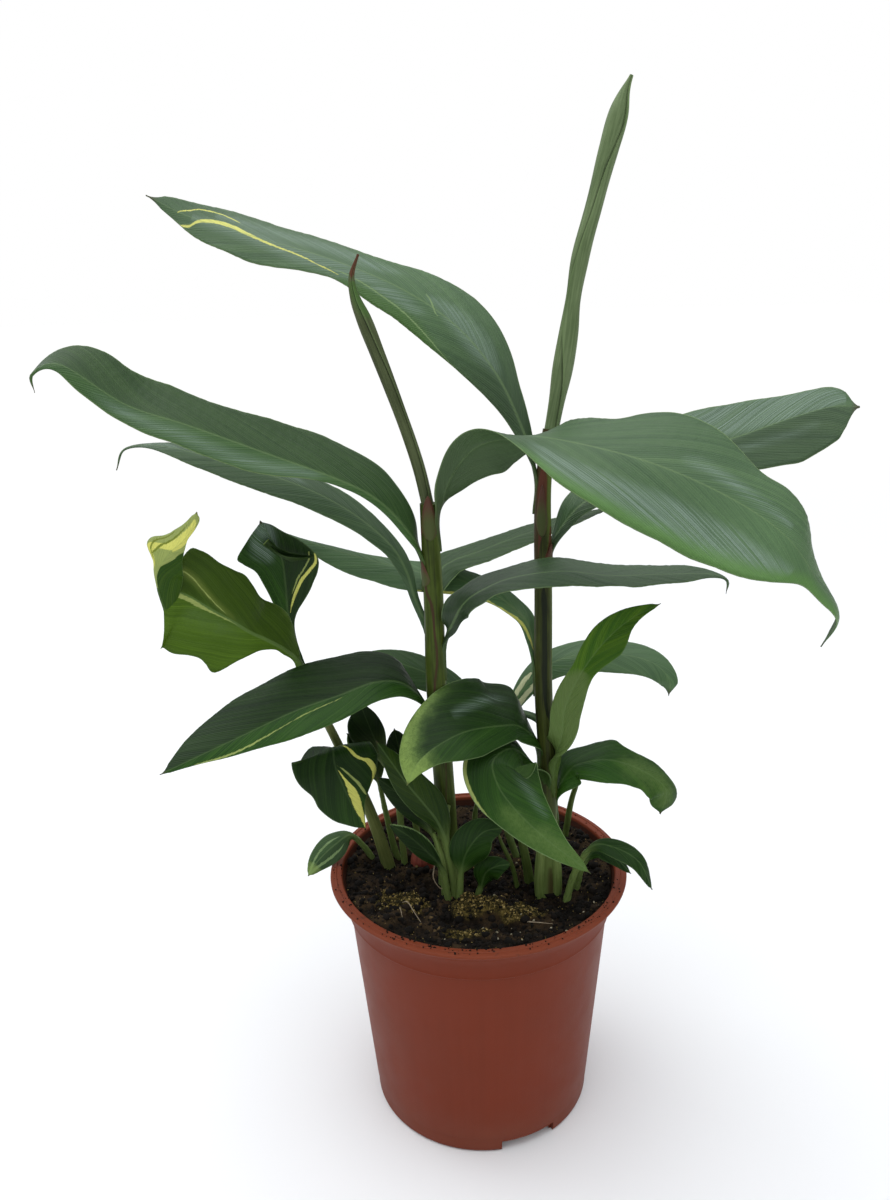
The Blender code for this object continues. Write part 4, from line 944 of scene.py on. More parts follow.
def leaf_guides(leaf):
    """Points of the midrib with the facing at each. A leaf on a stem begins along it, with
    its upper side to the stem."""
    points = [np.array(p, float) for p in leaf["line"]]
    looks = [direction(*face) for face in leaf["face"]]
    faces = np.stack([spread(axis, len(points) - 1) for axis in zip(*looks)], axis=1)
    if "on" not in leaf:
        return points, faces
    stem, height, azimuth = leaf["on"]
    outward = direction(azimuth, 0)
    start = []
    for z in (height - leaf["sheath"], height):
        centre, radius = stem_at(stem, z)
        start.append(centre + outward * (radius + SEATED + BLADE_MIDDLE / 2 + STEM_SIDE_BULGE))
    return start + points, np.vstack([-outward, -outward, faces])


def leaf_outline(leaf, t):
    """Half widths of a blade on its two sides at each share of its length."""
    if "low" in leaf:
        sides = [rounded(leaf[side], t) for side in ("low", "high")]
    else:
        widest, stalk = leaf["widest"], leaf["stalk"]
        rise = np.sin(np.pi / 2 * np.clip((t - stalk) / (widest - stalk), 0, 1)) ** leaf["base"]
        fall = np.cos(np.pi / 2 * np.clip((t - widest) / (1 - widest), 0, 1)) ** leaf["tip"]
        neck = np.interp(t, [0, 1], [STALK_RADIUS, LEAST_HALF_WIDTH])
        half = np.maximum(leaf["half"] * rise * fall, neck)
        sides = [half * np.where(half > NARROW, share, 1) for share in leaf["sides"]]
    pointed = np.clip((1 - t) / 0.03, 0.15, 1)
    if "on" in leaf:
        pointed = pointed * np.clip(t / 0.05, 0.12, 1) ** 0.7
    return [np.maximum(side, LEAST_HALF_WIDTH) * pointed for side in sides]


def stalk_bulge(leaf, t):
    """How far the skins stand off the middle surface at the midrib, above and below it."""
    widest, stalk = leaf["widest"], leaf["stalk"]
    fading = np.where(t <= stalk, 1, np.clip((widest - t) / (widest - stalk), 0, 1) ** 2)
    round_stalk = STALK_RADIUS - BLADE_MIDDLE / 2
    above, below = (STEM_SIDE_BULGE, OUTER_BULGE) if "on" in leaf else (round_stalk, round_stalk)
    return above * fading, below * fading


def vein_place(climb, off, across):
    """Where the side vein through a point leaves the midrib, as a length along it."""
    return climb - VEIN_SLANT * abs(off) * (1 + 0.25 * abs(across))


def pleats(vein, seed):
    """The soft swell of a blade between its side veins, from about -1 to 1."""
    return sum(np.sin(2 * np.pi * vein / w + seed * w) for w in PLEAT_WAVES) / len(PLEAT_WAVES)


def leaf_shape(leaf, seed):
    """The curved middle surface of a blade as a grid of points, and for each point its share
    along and across and the half width there. Last comes the blade's length."""
    points, faces = leaf_guides(leaf)
    _, _, length = smooth_line(points, 1)
    rows = max(FEWEST_ROWS, round(length / ROW_LENGTH))
    line, place, length = smooth_line(points, rows)
    look = np.stack([rounded(axis, place / (len(faces) - 1)) for axis in faces.T], axis=1)
    look = smoothed(look, 6)
    tangent = smoothed(unit(np.gradient(line, axis=0)), 4)
    up = unit(look - (look * tangent).sum(axis=1)[:, None] * tangent)
    side = np.cross(unit(tangent), up)

    t = even(rows)
    outline = leaf_outline(leaf, t)
    broad = max(map(max, outline))
    steps = np.linspace(-1, 1, LEAF_COLUMNS + 1)
    across = np.sign(steps) * abs(steps) ** 1.4
    height, waves = leaf["wave"]
    middle = np.zeros((rows + 1, LEAF_COLUMNS + 1, 3))
    reach = np.zeros(middle.shape[:2])
    for j, s in enumerate(across):
        high_side = int(s > 0)
        half = reach[:, j] = outline[high_side]
        turn = np.radians(leaf["fold"] + leaf["curl"] * np.linspace(0, abs(s), 9))
        x = np.mean(np.cos(turn)) * s * half
        h = np.mean(np.sin(turn)) * abs(s) * half
        full = np.minimum(1, 2 * half / broad)
        h += height * s**2 * full * np.sin(2 * np.pi * waves * t + 1.3 * high_side)
        shore = seed + 3.1 * high_side
        slow = np.array([noise.noise(Vector((length * v / RIPPLE_LENGTH, shore, 0.5))) for v in t])
        h += RIPPLE * broad * abs(s) ** 3 * full * slow
        h += PLEAT * full * min(1, 3 * abs(s)) * pleats(vein_place(length * t, s * half, s), seed)
        middle[:, j] = line + side * x[:, None] + up * h[:, None]
    return middle, *np.meshgrid(t, across, indexing="ij"), reach, length


def closed_blade(name, upper, lower, **values):
    """A closed mesh of two alike skins joined round the rim, with values at each point."""
    rows, columns = upper.shape[:2]
    top = np.arange(rows * columns).reshape(rows, columns)
    under = top + top.size
    faces = []
    for i in range(rows - 1):
        for j in range(columns - 1):
            a, b, c, d = (i, j), (i, j + 1), (i + 1, j + 1), (i + 1, j)
            faces.append((top[a], top[b], top[c], top[d]))
            faces.append((under[a], under[d], under[c], under[b]))
    rim = [(i, 0) for i in range(rows - 1)]
    rim += [(rows - 1, j) for j in range(columns - 1)]
    rim += [(i, columns - 1) for i in range(rows - 1, 0, -1)]
    rim += [(0, j) for j in range(columns - 1, 0, -1)]
    for a, b in zip(rim, rim[1:] + rim[:1]):
        faces.append((top[a], top[b], under[b], under[a]))
    points = np.vstack([upper.reshape(-1, 3), lower.reshape(-1, 3)])
    twice = {key: np.concatenate([grid.ravel(), grid.ravel()]) for key, grid in values.items()}
    return new_mesh(name, points, faces, **twice, under=np.repeat([0, 1], top.size))


def leaf_mesh(name, leaf, seed):
    """A thin closed blade with a grooved midrib on top and a raised one below."""
    middle, along, across, reach, length = leaf_shape(leaf, seed)
    normal = unit(np.cross(np.gradient(middle, axis=1), np.gradient(middle, axis=0)))
    off = across * reach
    above, below = stalk_bulge(leaf, along)
    rounding = np.sqrt(np.clip(1 - across**2, 0, 1))
    half = (BLADE_MARGIN + (BLADE_MIDDLE - BLADE_MARGIN) * (1 - abs(across) ** 3)) / 2
    rib = np.exp(-((off / MIDRIB_WIDTH) ** 2)) * np.clip(reach / 6, 0, 1) * (1.1 - along)
    upper = middle + normal * (half + above * rounding - MIDRIB_DEPTH * rib)[..., None]
    lower = middle - normal * (half + below * rounding + 2 * MIDRIB_DEPTH * rib)[..., None]
    vein = vein_place(along * length, off, across)
    return closed_blade(name, upper, lower, along=along, across=across, reach=reach, off=off, vein=vein)


def leaf_look(name, style, seed, stalk):
    """Green blade with fine side veins, a pale midrib and margin, its stripes, painted light and
    shade across and along it, a duller and lighter underside, and a pale stalk up to that
    share of its length."""
    dark, light, gloss, rib_share, edge_share = TONES[style["tone"]]
    look = Look(name, specular=gloss)
    along, across, reach, off, vein, under = look.values("along", "across", "reach", "off", "vein", "under")
    times, plus, minus, mix, between = look.times, look.plus, look.minus, look.mix, look.between

    def pattern(between_veins, outwards, place, scale=1.0, detail=3.0):
        """Noise drawn out along the side veins."""
        place = look.vector(times(vein, between_veins), times(off, outwards), seed * 7.3 + place)
        return look.noise(place, scale, detail)

    streaks = pattern(0.55, 0.03, 0)
    shade = plus(times(streaks, 0.6), times(pattern(0.1, 0.05, 3), 0.6))
    green = mix(between(shade, 0.4, 0.85), dark, light)
    # painted light and shade: one side of the blade lighter than the other, and with glow, lighter or darker
    # along it
    strength = between(off, -1.5, 1.5, *style.get("light", (1, 1)))
    if "glow" in style:
        curve = look.curve(along, [(t, v / 3) for t, v in zip(even(len(style["glow"]) - 1), style["glow"])])
        strength = times(strength, times(curve, 3.0))
    green = look.scaled(green, strength)
    green = mix(between(pattern(1.5, 0.04, 6), 0.55, 0.8, 0.0, gloss), green, COLOURS["pale"])

    ragged = times(minus(pattern(1, 0.3, 0, 1.3, 4), 0.5), 1.4)
    mottled = times(minus(look.noise(look.place(), 170, 3), 0.5), 9.0)
    for colour, points in style.get("stripes", ()):
        blotchy = colour in ("lime", "haze")
        here = look.stripe(
            points, along, across, reach, mottled if blotchy else ragged, SOFT.get(colour, 0.15))
        if blotchy:
            fleck = between(look.noise(look.place(), 800, 4, 0.7), 0.36, 0.6, 0.65, 1.0)
        elif colour == "painted_sheen":
            # painted highlight: the sheen stripes are streaked along the side veins
            fleck = between(pattern(1.5, 0.03, 15, 1.0, 4), 0.38, 0.68, 0.05, 0.85)
        else:
            fleck = between(pattern(1, 0.15, 9, 2.2), 0.25, 0.5, 0.45, 1.0)
        green = mix(times(here, fleck), green, COLOURS[colour])

    rib_width = times(plus(times(along, -0.75), 1.0), 0.55 * style.get("midrib", 1))
    beyond = minus(look.size(off), rib_width)
    green = mix(between(beyond, -0.2, 0.25, rib_share, 0.0), green, mix(0.35, COLOURS["pale"], light))
    margin = times(minus(1.0, look.size(across)), reach)
    edge = between(margin, 0.15, 0.5, style.get("margin", edge_share), 0.0)
    green = mix(times(edge, between(reach, 2.5, 5.0)), green, COLOURS["pale"])
    green = mix(between(along, 0.975, 0.995, 0.0, 0.6), green, COLOURS["brown"])
    underside = tuple((a + b) / 2 for a, b in zip(light, COLOURS["dull"]))
    green = mix(times(under, 0.55), green, underside)
    if stalk:
        green = mix(between(along, 0.8 * stalk, 1.3 * stalk, 0.9, 0.0), green, COLOURS["stalk"])
    else:
        green = mix(between(along, 0.04, 0.13, 0.85, 0.0), green, COLOURS["sheath"])
    look.finish("Base Color", green)

    fine = between(pattern(1.6, 0.05, 0, 1.0, 2), 0.3, 0.7, 0.36, 0.46)
    look.finish("Roughness", plus(fine, times(under, 0.16)))
    waves = look.math("SINE", times(vein, 2 * math.pi / VEIN_SPACING))
    look.bump(plus(times(waves, 0.16), streaks), 0.00016)
    return look.material


def make_leaves():
    for seed, (name, own) in enumerate([*LEAVES.items(), *FOLDS.items()]):
        leaf = {**USUAL_LEAF, **own}
        look = leaf_look(name, LEAF_LOOKS[name], seed, 0 if "on" in leaf else leaf["stalk"])
        blade = add_object(name + "_blade", leaf_mesh(name, leaf, seed), look)
        dress(blade, "leaf", *({name} & LEAVES.keys()))


def frames_along(line):
    """Two directions square to the line at each point: to its right and to its back."""
    tangent = smoothed(unit(np.gradient(line, axis=0)), 3)
    right = unit(np.cross((0, 1, 0), tangent) * -1)
    right = np.where((right[:, :1] < 0), -right, right)
    back = unit(np.cross(tangent, right))
    back = np.where((back[:, 1:2] < 0), -back, back)
    return right, back


def rod_mesh(name, points, radius, sides, step=0.0, seam=None):
    """A closed rod with that radius after each even step. With a step, its section is a
    spiral whose free edge stands that share of the radius proud at the azimuth in seam."""
    rings = len(radius) - 1
    line, _, length = smooth_line(points, rings)
    right, back = frames_along(line)
    start = np.radians(rounded(seam, even(rings))) if seam else np.full(rings + 1, math.pi / 2)
    columns = sides + 1 if step else sides
    along, turn = np.meshgrid(even(rings), np.arange(columns) / sides, indexing="ij")
    angle = start[:, None] + 2 * np.pi * turn
    stand = (radius[:, None] * (1 + step * (0.5 - turn)))[..., None]
    sideways = right[:, None] * np.cos(angle)[..., None] + back[:, None] * np.sin(angle)[..., None]
    grid = line[:, None] + stand * sideways
    index = np.arange(along.size).reshape(along.shape)
    faces = []
    for i in range(rings):
        for j in range(columns):
            k = (j + 1) % columns
            faces.append((index[i, j], index[i, k], index[i + 1, k], index[i + 1, j]))
    faces += [index[0, ::-1], index[-1]]
    across = (np.degrees(angle) + 90 + 180) % 360 / 180 - 1
    reach = np.pi * radius[:, None] * np.ones(columns)
    mesh = new_mesh(
        name, grid.reshape(-1, 3), faces,
        along=along, across=across, reach=reach, turn=turn, climb=along * length)
    mesh.set_sharp_from_angle(angle=math.radians(60))
    return mesh


def stem_look(name, style):
    """Waxy green skin with fine lengthwise fibres and brown sheath edges."""
    look = Look(name, specular=0.14)
    along, across, reach, climb = look.values("along", "across", "reach", "climb")
    times, plus, mix, between = look.times, look.plus, look.mix, look.between
    girth = times(across, reach)
    fibres = look.noise(look.vector(times(girth, 1.3), times(climb, 0.04), 0), 1.0, 4)
    blotches = look.noise(look.vector(times(girth, 0.15), times(climb, 0.05), 5), 1.0)
    shade = plus(times(fibres, 0.6), times(blotches, 0.5))
    green = mix(between(shade, 0.38, 0.75), *style["colours"])
    if "pale" in style:
        foot = between(plus(along, times(fibres, 0.08)), style["pale"], 0.12, 0.0, 0.8)
        green = mix(foot, green, COLOURS["stalk"])
    ragged = times(look.minus(fibres, 0.5), 1.2)
    for colour, points in style.get("stripes", ()):
        here = look.stripe(points, along, across, reach, ragged, SOFT.get(colour, 0.3))
        green = mix(times(here, 0.85), green, COLOURS[colour])
    look.finish("Base Color", green)
    look.finish("Roughness", between(fibres, 0.3, 0.7, 0.4, 0.55))
    look.bump(fibres, 0.00012)
    return look


def make_stems():
    for name, stem in STEMS.items():
        if name in SPEARS:
            continue
        sides = STEM_SIDES if name.endswith("_stem") else STALK_SIDES
        mesh = rod_mesh(name, stem["line"], spread(stem["radius"], STEM_RINGS), sides)
        rod = add_object(name + "_rod", mesh, stem_look(name, STEM_LOOKS[name]).material)
        dress(rod, "bud" if name == "rhizome_bud" else "stem", name)


def make_cluster_sheaths():
    look = stem_look("cluster_sheaths", dict(colours=CLUSTER_COLOURS)).material
    for k, sheath in enumerate(CLUSTER_SHEATHS):
        name = f"cluster_sheath_{k}"
        mesh = rod_mesh(name, sheath["line"], rounded(sheath["radius"], even(CLUSTER_RINGS)), STALK_SIDES)
        dress(add_object(name, mesh, look), "stem")


def spear_look(name, style):
    """A rolled blade, with painted shade in the hollow under its free edge, and pale along that edge."""
    look = stem_look(name, style)
    turn = look.values("turn")[0]
    base = look.shader.inputs["Base Color"].links[0].from_socket
    # painted shade in the hollow under the free edge
    base = look.mix(look.between(turn, 0.95, 1.0, 0.0, 0.55), base, COLOURS["black"])
    base = look.mix(look.between(turn, 0.0, 0.04, 0.3, 0.0), base, COLOURS["pale"])
    look.finish("Base Color", base)
    return look.material


def make_spears():
    for name, style in SPEARS.items():
        radius = np.maximum(rounded(STEMS[name]["radius"], even(SPEAR_RINGS)), 0.5)
        mesh = rod_mesh(name, STEMS[name]["line"], radius, SPEAR_SIDES, style["step"], style["seam"])
        dress(add_object(name + "_leaf", mesh, spear_look(name, style)), "leaf", name)


def sheath_tip_mesh(name, stem, low, high, azimuth, half_angle):
    """A pointed scale that clasps a stem and stands a little off it at its tip."""
    shares, sides = even(TIP_ROWS), np.linspace(-1, 1, TIP_COLUMNS + 1)
    skins = []
    for inset in (0.35, 0.0):
        grid = np.zeros((len(shares), len(sides), 3))
        for i, v in enumerate(shares):
            z = low + (high - low) * v
            centre, radius = stem_at(stem, z)
            wide = half_angle * (1 - v) ** 0.7 * min(1, v / 0.3) ** 0.6 + 1.5
            for j, s in enumerate(sides):
                stand = radius + 0.15 + inset * (1 - abs(s) ** 3) + 0.5 * v**2
                grid[i, j] = centre + direction(azimuth + wide * s, 0) * stand
                grid[i, j, 2] = z
        skins.append(grid)
    along, across = np.meshgrid(shares, sides, indexing="ij")
    return closed_blade(name, *skins, along=along, across=across)


def sheath_look():
    look = Look("sheath_tips", roughness=0.6, specular=0.3)
    along, across = look.values("along", "across")
    grain = look.noise(look.vector(look.times(across, 6.0), along, 0), 1.5, 4)
    edge = look.between(look.size(across), 0.35, 0.95)
    share = look.plus(look.between(along, 0.35, 0.9), look.times(edge, 0.4))
    share = look.times(look.math("MINIMUM", share, 1.0), look.between(grain, 0.2, 0.5, 0.7, 1.0))
    look.finish("Base Color", look.mix(share, (0.052, 0.068, 0.014), (0.075, 0.026, 0.014)))
    look.bump(grain, 0.0001)
    return look.material


def make_sheath_tips():
    look = sheath_look()
    for k, (stem, *measures) in enumerate(SHEATH_TIPS):
        name = f"{stem}_sheath_tip_{k}"
        dress(add_object(name, sheath_tip_mesh(name, stem, *measures), look), "stem")


def turned_mesh(name, profile, sides):
    """A solid turned about +Z. The profile runs from the axis, down the outer side and back
    to the axis."""
    edges = [(i, i + 1) for i in range(len(profile) - 1)]
    outline = bpy.data.meshes.new(name)
    outline.from_pydata([(radius * MM, 0, z * MM) for radius, z in profile], edges, [])
    guide = bpy.data.objects.new(name + "_profile", outline)
    bpy.data.collections[HOME].objects.link(guide)
    screw = guide.modifiers.new("turn", "SCREW")
    screw.steps = sides
    screw.render_steps = sides
    screw.use_merge_vertices = True
    screw.merge_threshold = 0.00001
    mesh = bpy.data.meshes.new_from_object(guide.evaluated_get(bpy.context.evaluated_depsgraph_get()))
    bpy.data.objects.remove(guide, do_unlink=True)
    mesh.shade_smooth()
    mesh.set_sharp_from_angle(angle=math.radians(40))
    return mesh


def cut(target, name, shape, look):
    """Takes the closed shape out of the target, by a hidden object."""
    mesh = bpy.data.meshes.new(name)
    shape.to_mesh(mesh)
    shape.free()
    tool = add_object(name, mesh, look, TOOLS)
    tool.hide_render = True
    tool.display_type = "WIRE"
    step = target.modifiers.new("cut_" + name, "BOOLEAN")
    step.operation = "DIFFERENCE"
    step.solver = "EXACT"
    step.object = tool


def round_shape(radius, low, high, x, y):
    """A closed upright cylinder between two heights."""
    shape = bmesh.new()
    middle = Matrix.Translation((x * MM, y * MM, (low + high) / 2 * MM))
    bmesh.ops.create_cone(
        shape, cap_ends=True, segments=32, radius1=radius * MM, radius2=radius * MM,
        depth=(high - low) * MM, matrix=middle)
    return shape


def block_shape(size, centre, azimuth):
    """A closed block, put at its centre and then turned about the pot's axis."""
    shape = bmesh.new()
    turn = Matrix.Rotation(math.radians(azimuth), 4, "Z")
    place = Matrix.Translation([c * MM for c in centre])
    stretch = Matrix.Diagonal([*(side * MM for side in size), 1])
    bmesh.ops.create_cube(shape, size=1, matrix=turn @ place @ stretch)
    return shape


def wall_inside(z):
    """Radius of the pot's inner wall at a height below the neck."""
    return FOOT_RADIUS + (STEP_RADIUS - FOOT_RADIUS) * z / STEP_HEIGHT - WALL


def arc(centre, radius, start, end, count):
    """Points of an arc in the profile's plane, angles in degrees from outwards, up positive."""
    offsets = [on_circle(radius, angle) for angle in np.radians(np.linspace(start, end, count))]
    return [(centre[0] + x, centre[1] + y) for x, y in offsets]


def pot_profile():
    """From the middle of the floor up the inside, over the lip, down the outside to the
    foot and under it to the flat centre foot."""
    lip_inner = RIM_RADIUS - LIP_WIDTH
    ridge = RIM_RADIUS - LIP_WIDTH / 2
    return [
        (0, FLOOR_TOP),
        (wall_inside(FLOOR_TOP), FLOOR_TOP),
        (wall_inside(STEP_HEIGHT), STEP_HEIGHT),
        (NECK_RADIUS - WALL, NECK_HEIGHT - 1),
        (lip_inner - 1.6, RIM_HEIGHT - 3.4),
        *arc((lip_inner + 0.3, RIM_HEIGHT - 0.8), 0.8, 180, 90, 5),
        *arc((ridge, RIM_HEIGHT - 0.1), 0.5, 170, 10, 7),
        *arc((RIM_RADIUS - 0.9, RIM_HEIGHT - 1.1), 0.9, 90, -30, 8),
        (RIM_RADIUS - 1.2, RIM_HEIGHT - 2.5),
        (RIM_RADIUS - 3.2, RIM_HEIGHT - 3.6),
        (RIM_RADIUS - 6, RIM_HEIGHT - 6.6),
        (NECK_RADIUS, NECK_HEIGHT),
        (STEP_RADIUS + 1.1, STEP_HEIGHT + 2.6),
        *arc((STEP_RADIUS + 0.6, STEP_HEIGHT + 1.0), 0.6, 30, -80, 6),
        (STEP_RADIUS, STEP_HEIGHT + 0.2),
        (STEP_RADIUS - 0.1, STEP_HEIGHT - 0.8),
        (FOOT_RADIUS + 0.95, FOOT_LINE + 1.4),
        (FOOT_RADIUS + 0.85, FOOT_LINE + 0.4),
        (FOOT_RADIUS + 0.4, FOOT_LINE),
        (FOOT_RADIUS + 0.3, FOOT_LINE - 1),
        *arc((FOOT_RADIUS - 1.6, 1.9), 1.9, 0, -90, 8),
        (FOOT_RADIUS - 2.4, 0),
        (FOOT_RADIUS - 2.6, FLOOR_UNDER),
        (CENTRE_FOOT_RADIUS + 1.2, FLOOR_UNDER),
        (CENTRE_FOOT_RADIUS, 0),
        (0, 0),
    ]


def pot_look():
    """Moulded plastic: satin, slightly mottled, faint upright flow lines, dusty near its foot
    and stained by soil on its lip. The lip has painted light, and the inner wall below the rim
    is darkened by soil and painted shade."""
    look = Look("pot_plastic", specular=0.15)
    times, mix, between, noise_at = look.times, look.mix, look.between, look.noise
    place = look.place()
    axes = look.node("SeparateXYZ", {0: place}).outputs
    height = times(axes[2], 1 / MM)
    around = look.math("ARCTAN2", axes[0], axes[1])
    flow = noise_at(look.vector(times(around, 14.0), times(height, 0.006), 0), 1.0, 3)
    shade = look.plus(times(noise_at(place, 22, 3), 0.6), times(flow, 0.4))
    base = mix(between(shade, 0.35, 0.65), (0.154, 0.024, 0.007), (0.168, 0.026, 0.008))
    on_lip = between(height, NECK_HEIGHT + 4, RIM_HEIGHT - 1.5)
    # painted light: the upward-facing lip is a lighter, more orange brown
    base = mix(on_lip, base, (0.175, 0.036, 0.014))
    stains = between(noise_at(place, 260, 4, 0.7), 0.6, 0.72)
    base = mix(times(times(stains, on_lip), 0.7), base, (0.05, 0.02, 0.012))
    # painted shade, with soil: the inner wall just below the rim is darkened
    outwards = look.node("VectorMath", {0: place, 1: (1, 1, 0)}, operation="MULTIPLY").outputs[0]
    outwards = look.node("VectorMath", {0: outwards}, operation="NORMALIZE").outputs[0]
    normal = look.node("NewGeometry").outputs["Normal"]
    facing = look.node("VectorMath", {0: outwards, 1: normal}, operation="DOT_PRODUCT").outputs["Value"]
    inner = times(between(facing, -0.35, -0.6), between(height, RIM_HEIGHT - 0.8, RIM_HEIGHT - 2))
    base = mix(times(inner, 0.85), base, (0.022, 0.010, 0.006))
    dust = times(between(height, 30, 2, 0, 0.25), noise_at(place, 60, 4))
    look.finish("Base Color", mix(dust, base, (0.23, 0.12, 0.085)))
    look.finish("Roughness", between(noise_at(place, 90, 4), 0.3, 0.7, 0.46, 0.52))
    look.bump(noise_at(place, 1400, 2), 0.00004)
    return look.material


def make_pot():
    look = pot_look()
    pot = add_object("pot_shell", turned_mesh("pot_shell", pot_profile(), POT_SIDES), look)
    for k in range(DRAIN_COUNT):
        x, y = on_circle(DRAIN_CIRCLE, 2 * math.pi * k / DRAIN_COUNT + math.radians(DRAIN_START))
        cut(pot, f"drain_{k}", round_shape(DRAIN_RADIUS, FLOOR_UNDER - 1, FLOOR_TOP + 1, x, y), look)
    for k, azimuth in enumerate(NOTCH_AZIMUTHS):
        size = (8, NOTCH_WIDTH, NOTCH_HEIGHT + 2)
        centre = (FOOT_RADIUS, 0, NOTCH_HEIGHT / 2 - 1)
        cut(pot, f"notch_{k}", block_shape(size, centre, azimuth), look)
    dress(pot, "pot_plastic", "pot")


def moss_at(x, y):
    """From 1 in the middle of a mossy lump to 0 away from them all, and how high it stands."""
    wobble = 0.5 * noise.noise(Vector((x / 6, y / 6, 2)))
    share, rise = 0.0, 0.0
    for at_x, at_y, width, depth, height in MOSS:
        here = max(0.0, 1 - ((x - at_x) / width) ** 2 - ((y - at_y) / depth) ** 2 + wobble)
        share = max(share, here * min(1, 0.4 + height / 6))
        rise = max(rise, height * math.sqrt(min(1, here)))
    return share, rise


def clod_rise(x, y):
    """From about -1 in the hollows between the clods to 1 on top of them."""
    return noise.fractal(Vector((x / CLOD_SPACING, y / CLOD_SPACING, 0.7)), 0.8, 2.1, 5)


def soil_height(x, y):
    """Height of the lumpy top of the soil, in millimetres."""
    radius, angle = math.hypot(x, y), math.atan2(y, x)
    share = radius / SOIL_REACH
    lumps = 0.42 * math.sin(3 * angle + 0.8) * share + 0.3 * math.sin(7 * angle + radius / 9) * share
    rise = lumps + 0.4 * math.sin(radius / 6) - SOIL_MOUND * share**2
    climb = min(1, max(0, (share - SOIL_BANK_START) / (1 - SOIL_BANK_START)))
    bank = SOIL_BANK * climb**1.5 + moss_at(x, y)[1]
    return SOIL_HEIGHT + 0.8 + rise + CLOD_HEIGHT * clod_rise(x, y) * (1 - 0.5 * climb) + bank


def soil_mesh():
    """The root ball: a lumpy top down to the pot's wall and a plain underside."""
    spokes = [2 * math.pi * k / SOIL_SPOKES for k in range(SOIL_SPOKES)]
    top = [(0, 0)]
    for ring in range(1, SOIL_RINGS + 1):
        top += [on_circle(SOIL_EDGE * ring / SOIL_RINGS, a) for a in spokes]
    points = [(x, y, soil_height(x, y)) for x, y in top]
    low = FLOOR_TOP + 0.3
    neck, step, foot = NECK_RADIUS - WALL, wall_inside(STEP_HEIGHT), wall_inside(low)
    for radius, z in ((neck, NECK_HEIGHT - 1), (step, STEP_HEIGHT), (foot, low)):
        points += [(*on_circle(radius - 0.3, a), z) for a in spokes]
    rings = SOIL_RINGS + 3
    after = [(k + 1) % SOIL_SPOKES for k in range(SOIL_SPOKES)]
    faces = [(0, 1 + k, 1 + n) for k, n in enumerate(after)]
    for first in range(1, 1 + (rings - 1) * SOIL_SPOKES, SOIL_SPOKES):
        second = first + SOIL_SPOKES
        faces += [(first + k, second + k, second + n, first + n) for k, n in enumerate(after)]
    faces.append(tuple(reversed(range(len(points) - SOIL_SPOKES, len(points)))))
    moss = [moss_at(x, y)[0] for x, y in top] + [0] * 3 * SOIL_SPOKES
    crest = [clod_rise(x, y) for x, y, _ in points]
    return new_mesh("soil_bed", points, faces, moss=moss, crest=crest)


def soil_look():
    look = Look("soil_bed", roughness=0.95, specular=0.15)
    mix, between = look.mix, look.between
    moss, crest = look.values("moss", "crest")
    grain = look.noise(look.place(), 420, 5, 0.7)
    clods = look.noise(look.place(), 90, 4, 0.6)
    earth = mix(between(clods, 0.35, 0.65), (0.003, 0.002, 0.001), (0.024, 0.015, 0.008))
    # painted shade: the earth is lighter on the crests of the clods and darker in the hollows between them
    earth = mix(between(crest, -0.1, 0.5, 0.0, 0.8), earth, (0.042, 0.026, 0.012))
    earth = mix(between(grain, 0.62, 0.8), earth, (0.110, 0.072, 0.030))
    green = mix(between(grain, 0.4, 0.65), (0.022, 0.018, 0.005), (0.150, 0.110, 0.030))
    look.finish("Base Color", mix(between(moss, 0.02, 0.35), earth, green))
    look.bump(look.plus(grain, clods), 0.0012)
    return look.material


def make_soil():
    dress(add_object("soil_bed", soil_mesh(), soil_look()), "soil", "soil")


def grains_mesh(name, grains):
    """Small uneven lumps in one mesh. Each grain holds its place, its radius in millimetres
    and its tint from 0 to 1."""
    shape = bmesh.new()
    bmesh.ops.create_icosphere(shape, subdivisions=1, radius=1)
    ball = np.array([v.co for v in shape.verts])
    corners = np.array([[v.index for v in f.verts] for f in shape.faces])
    shape.free()
    draw = np.random.default_rng(len(grains))
    points, faces, tints = [], [], []
    for k, (place, size, tint) in enumerate(grains):
        stretch = draw.uniform(0.55, 1.3, 3)
        rough = ball * draw.uniform(0.75, 1.2, (len(ball), 1))
        turn = np.array(Matrix.Rotation(draw.uniform(0, 6.3), 3, unit(draw.normal(size=3))))
        points.append((rough * stretch * size) @ turn.T + place)
        faces.append(corners + k * len(ball))
        tints.append(np.full(len(ball), tint))
    return new_mesh(name, np.vstack(points), np.vstack(faces), tint=np.concatenate(tints))


def grain_look(name, colours):
    """Loose grains whose tint picks a colour between these."""
    look = Look(name, roughness=0.9, specular=0.2)
    ramp = look.node("ValToRGB", {"Fac": look.values("tint")[0]})
    stops = ramp.color_ramp.elements
    while len(stops) < len(colours):
        stops.new(0.5)
    for stop, position, colour in zip(stops, even(len(colours) - 1), colours):
        stop.position = position
        stop.color = (*colour, 1)
    fine = look.noise(look.place(), 900, 3)
    look.finish("Base Color", look.scaled(ramp.outputs[0], look.between(fine, 0.3, 0.7, 0.6, 1.2)))
    look.bump(fine, 0.0003)
    return look.material


def scatter(count, draw, inside, lift=0.0):
    """Seeded places on the soil that inside keeps, with their height raised by lift."""
    found = []
    while len(found) < count:
        radius, angle = (SOIL_EDGE - 0.5) * math.sqrt(draw.random()), draw.uniform(0, 2 * math.pi)
        x, y = on_circle(radius, angle)
        if inside(x, y, draw.random()):
            found.append(np.array((x, y, soil_height(x, y) + lift)))
    return found


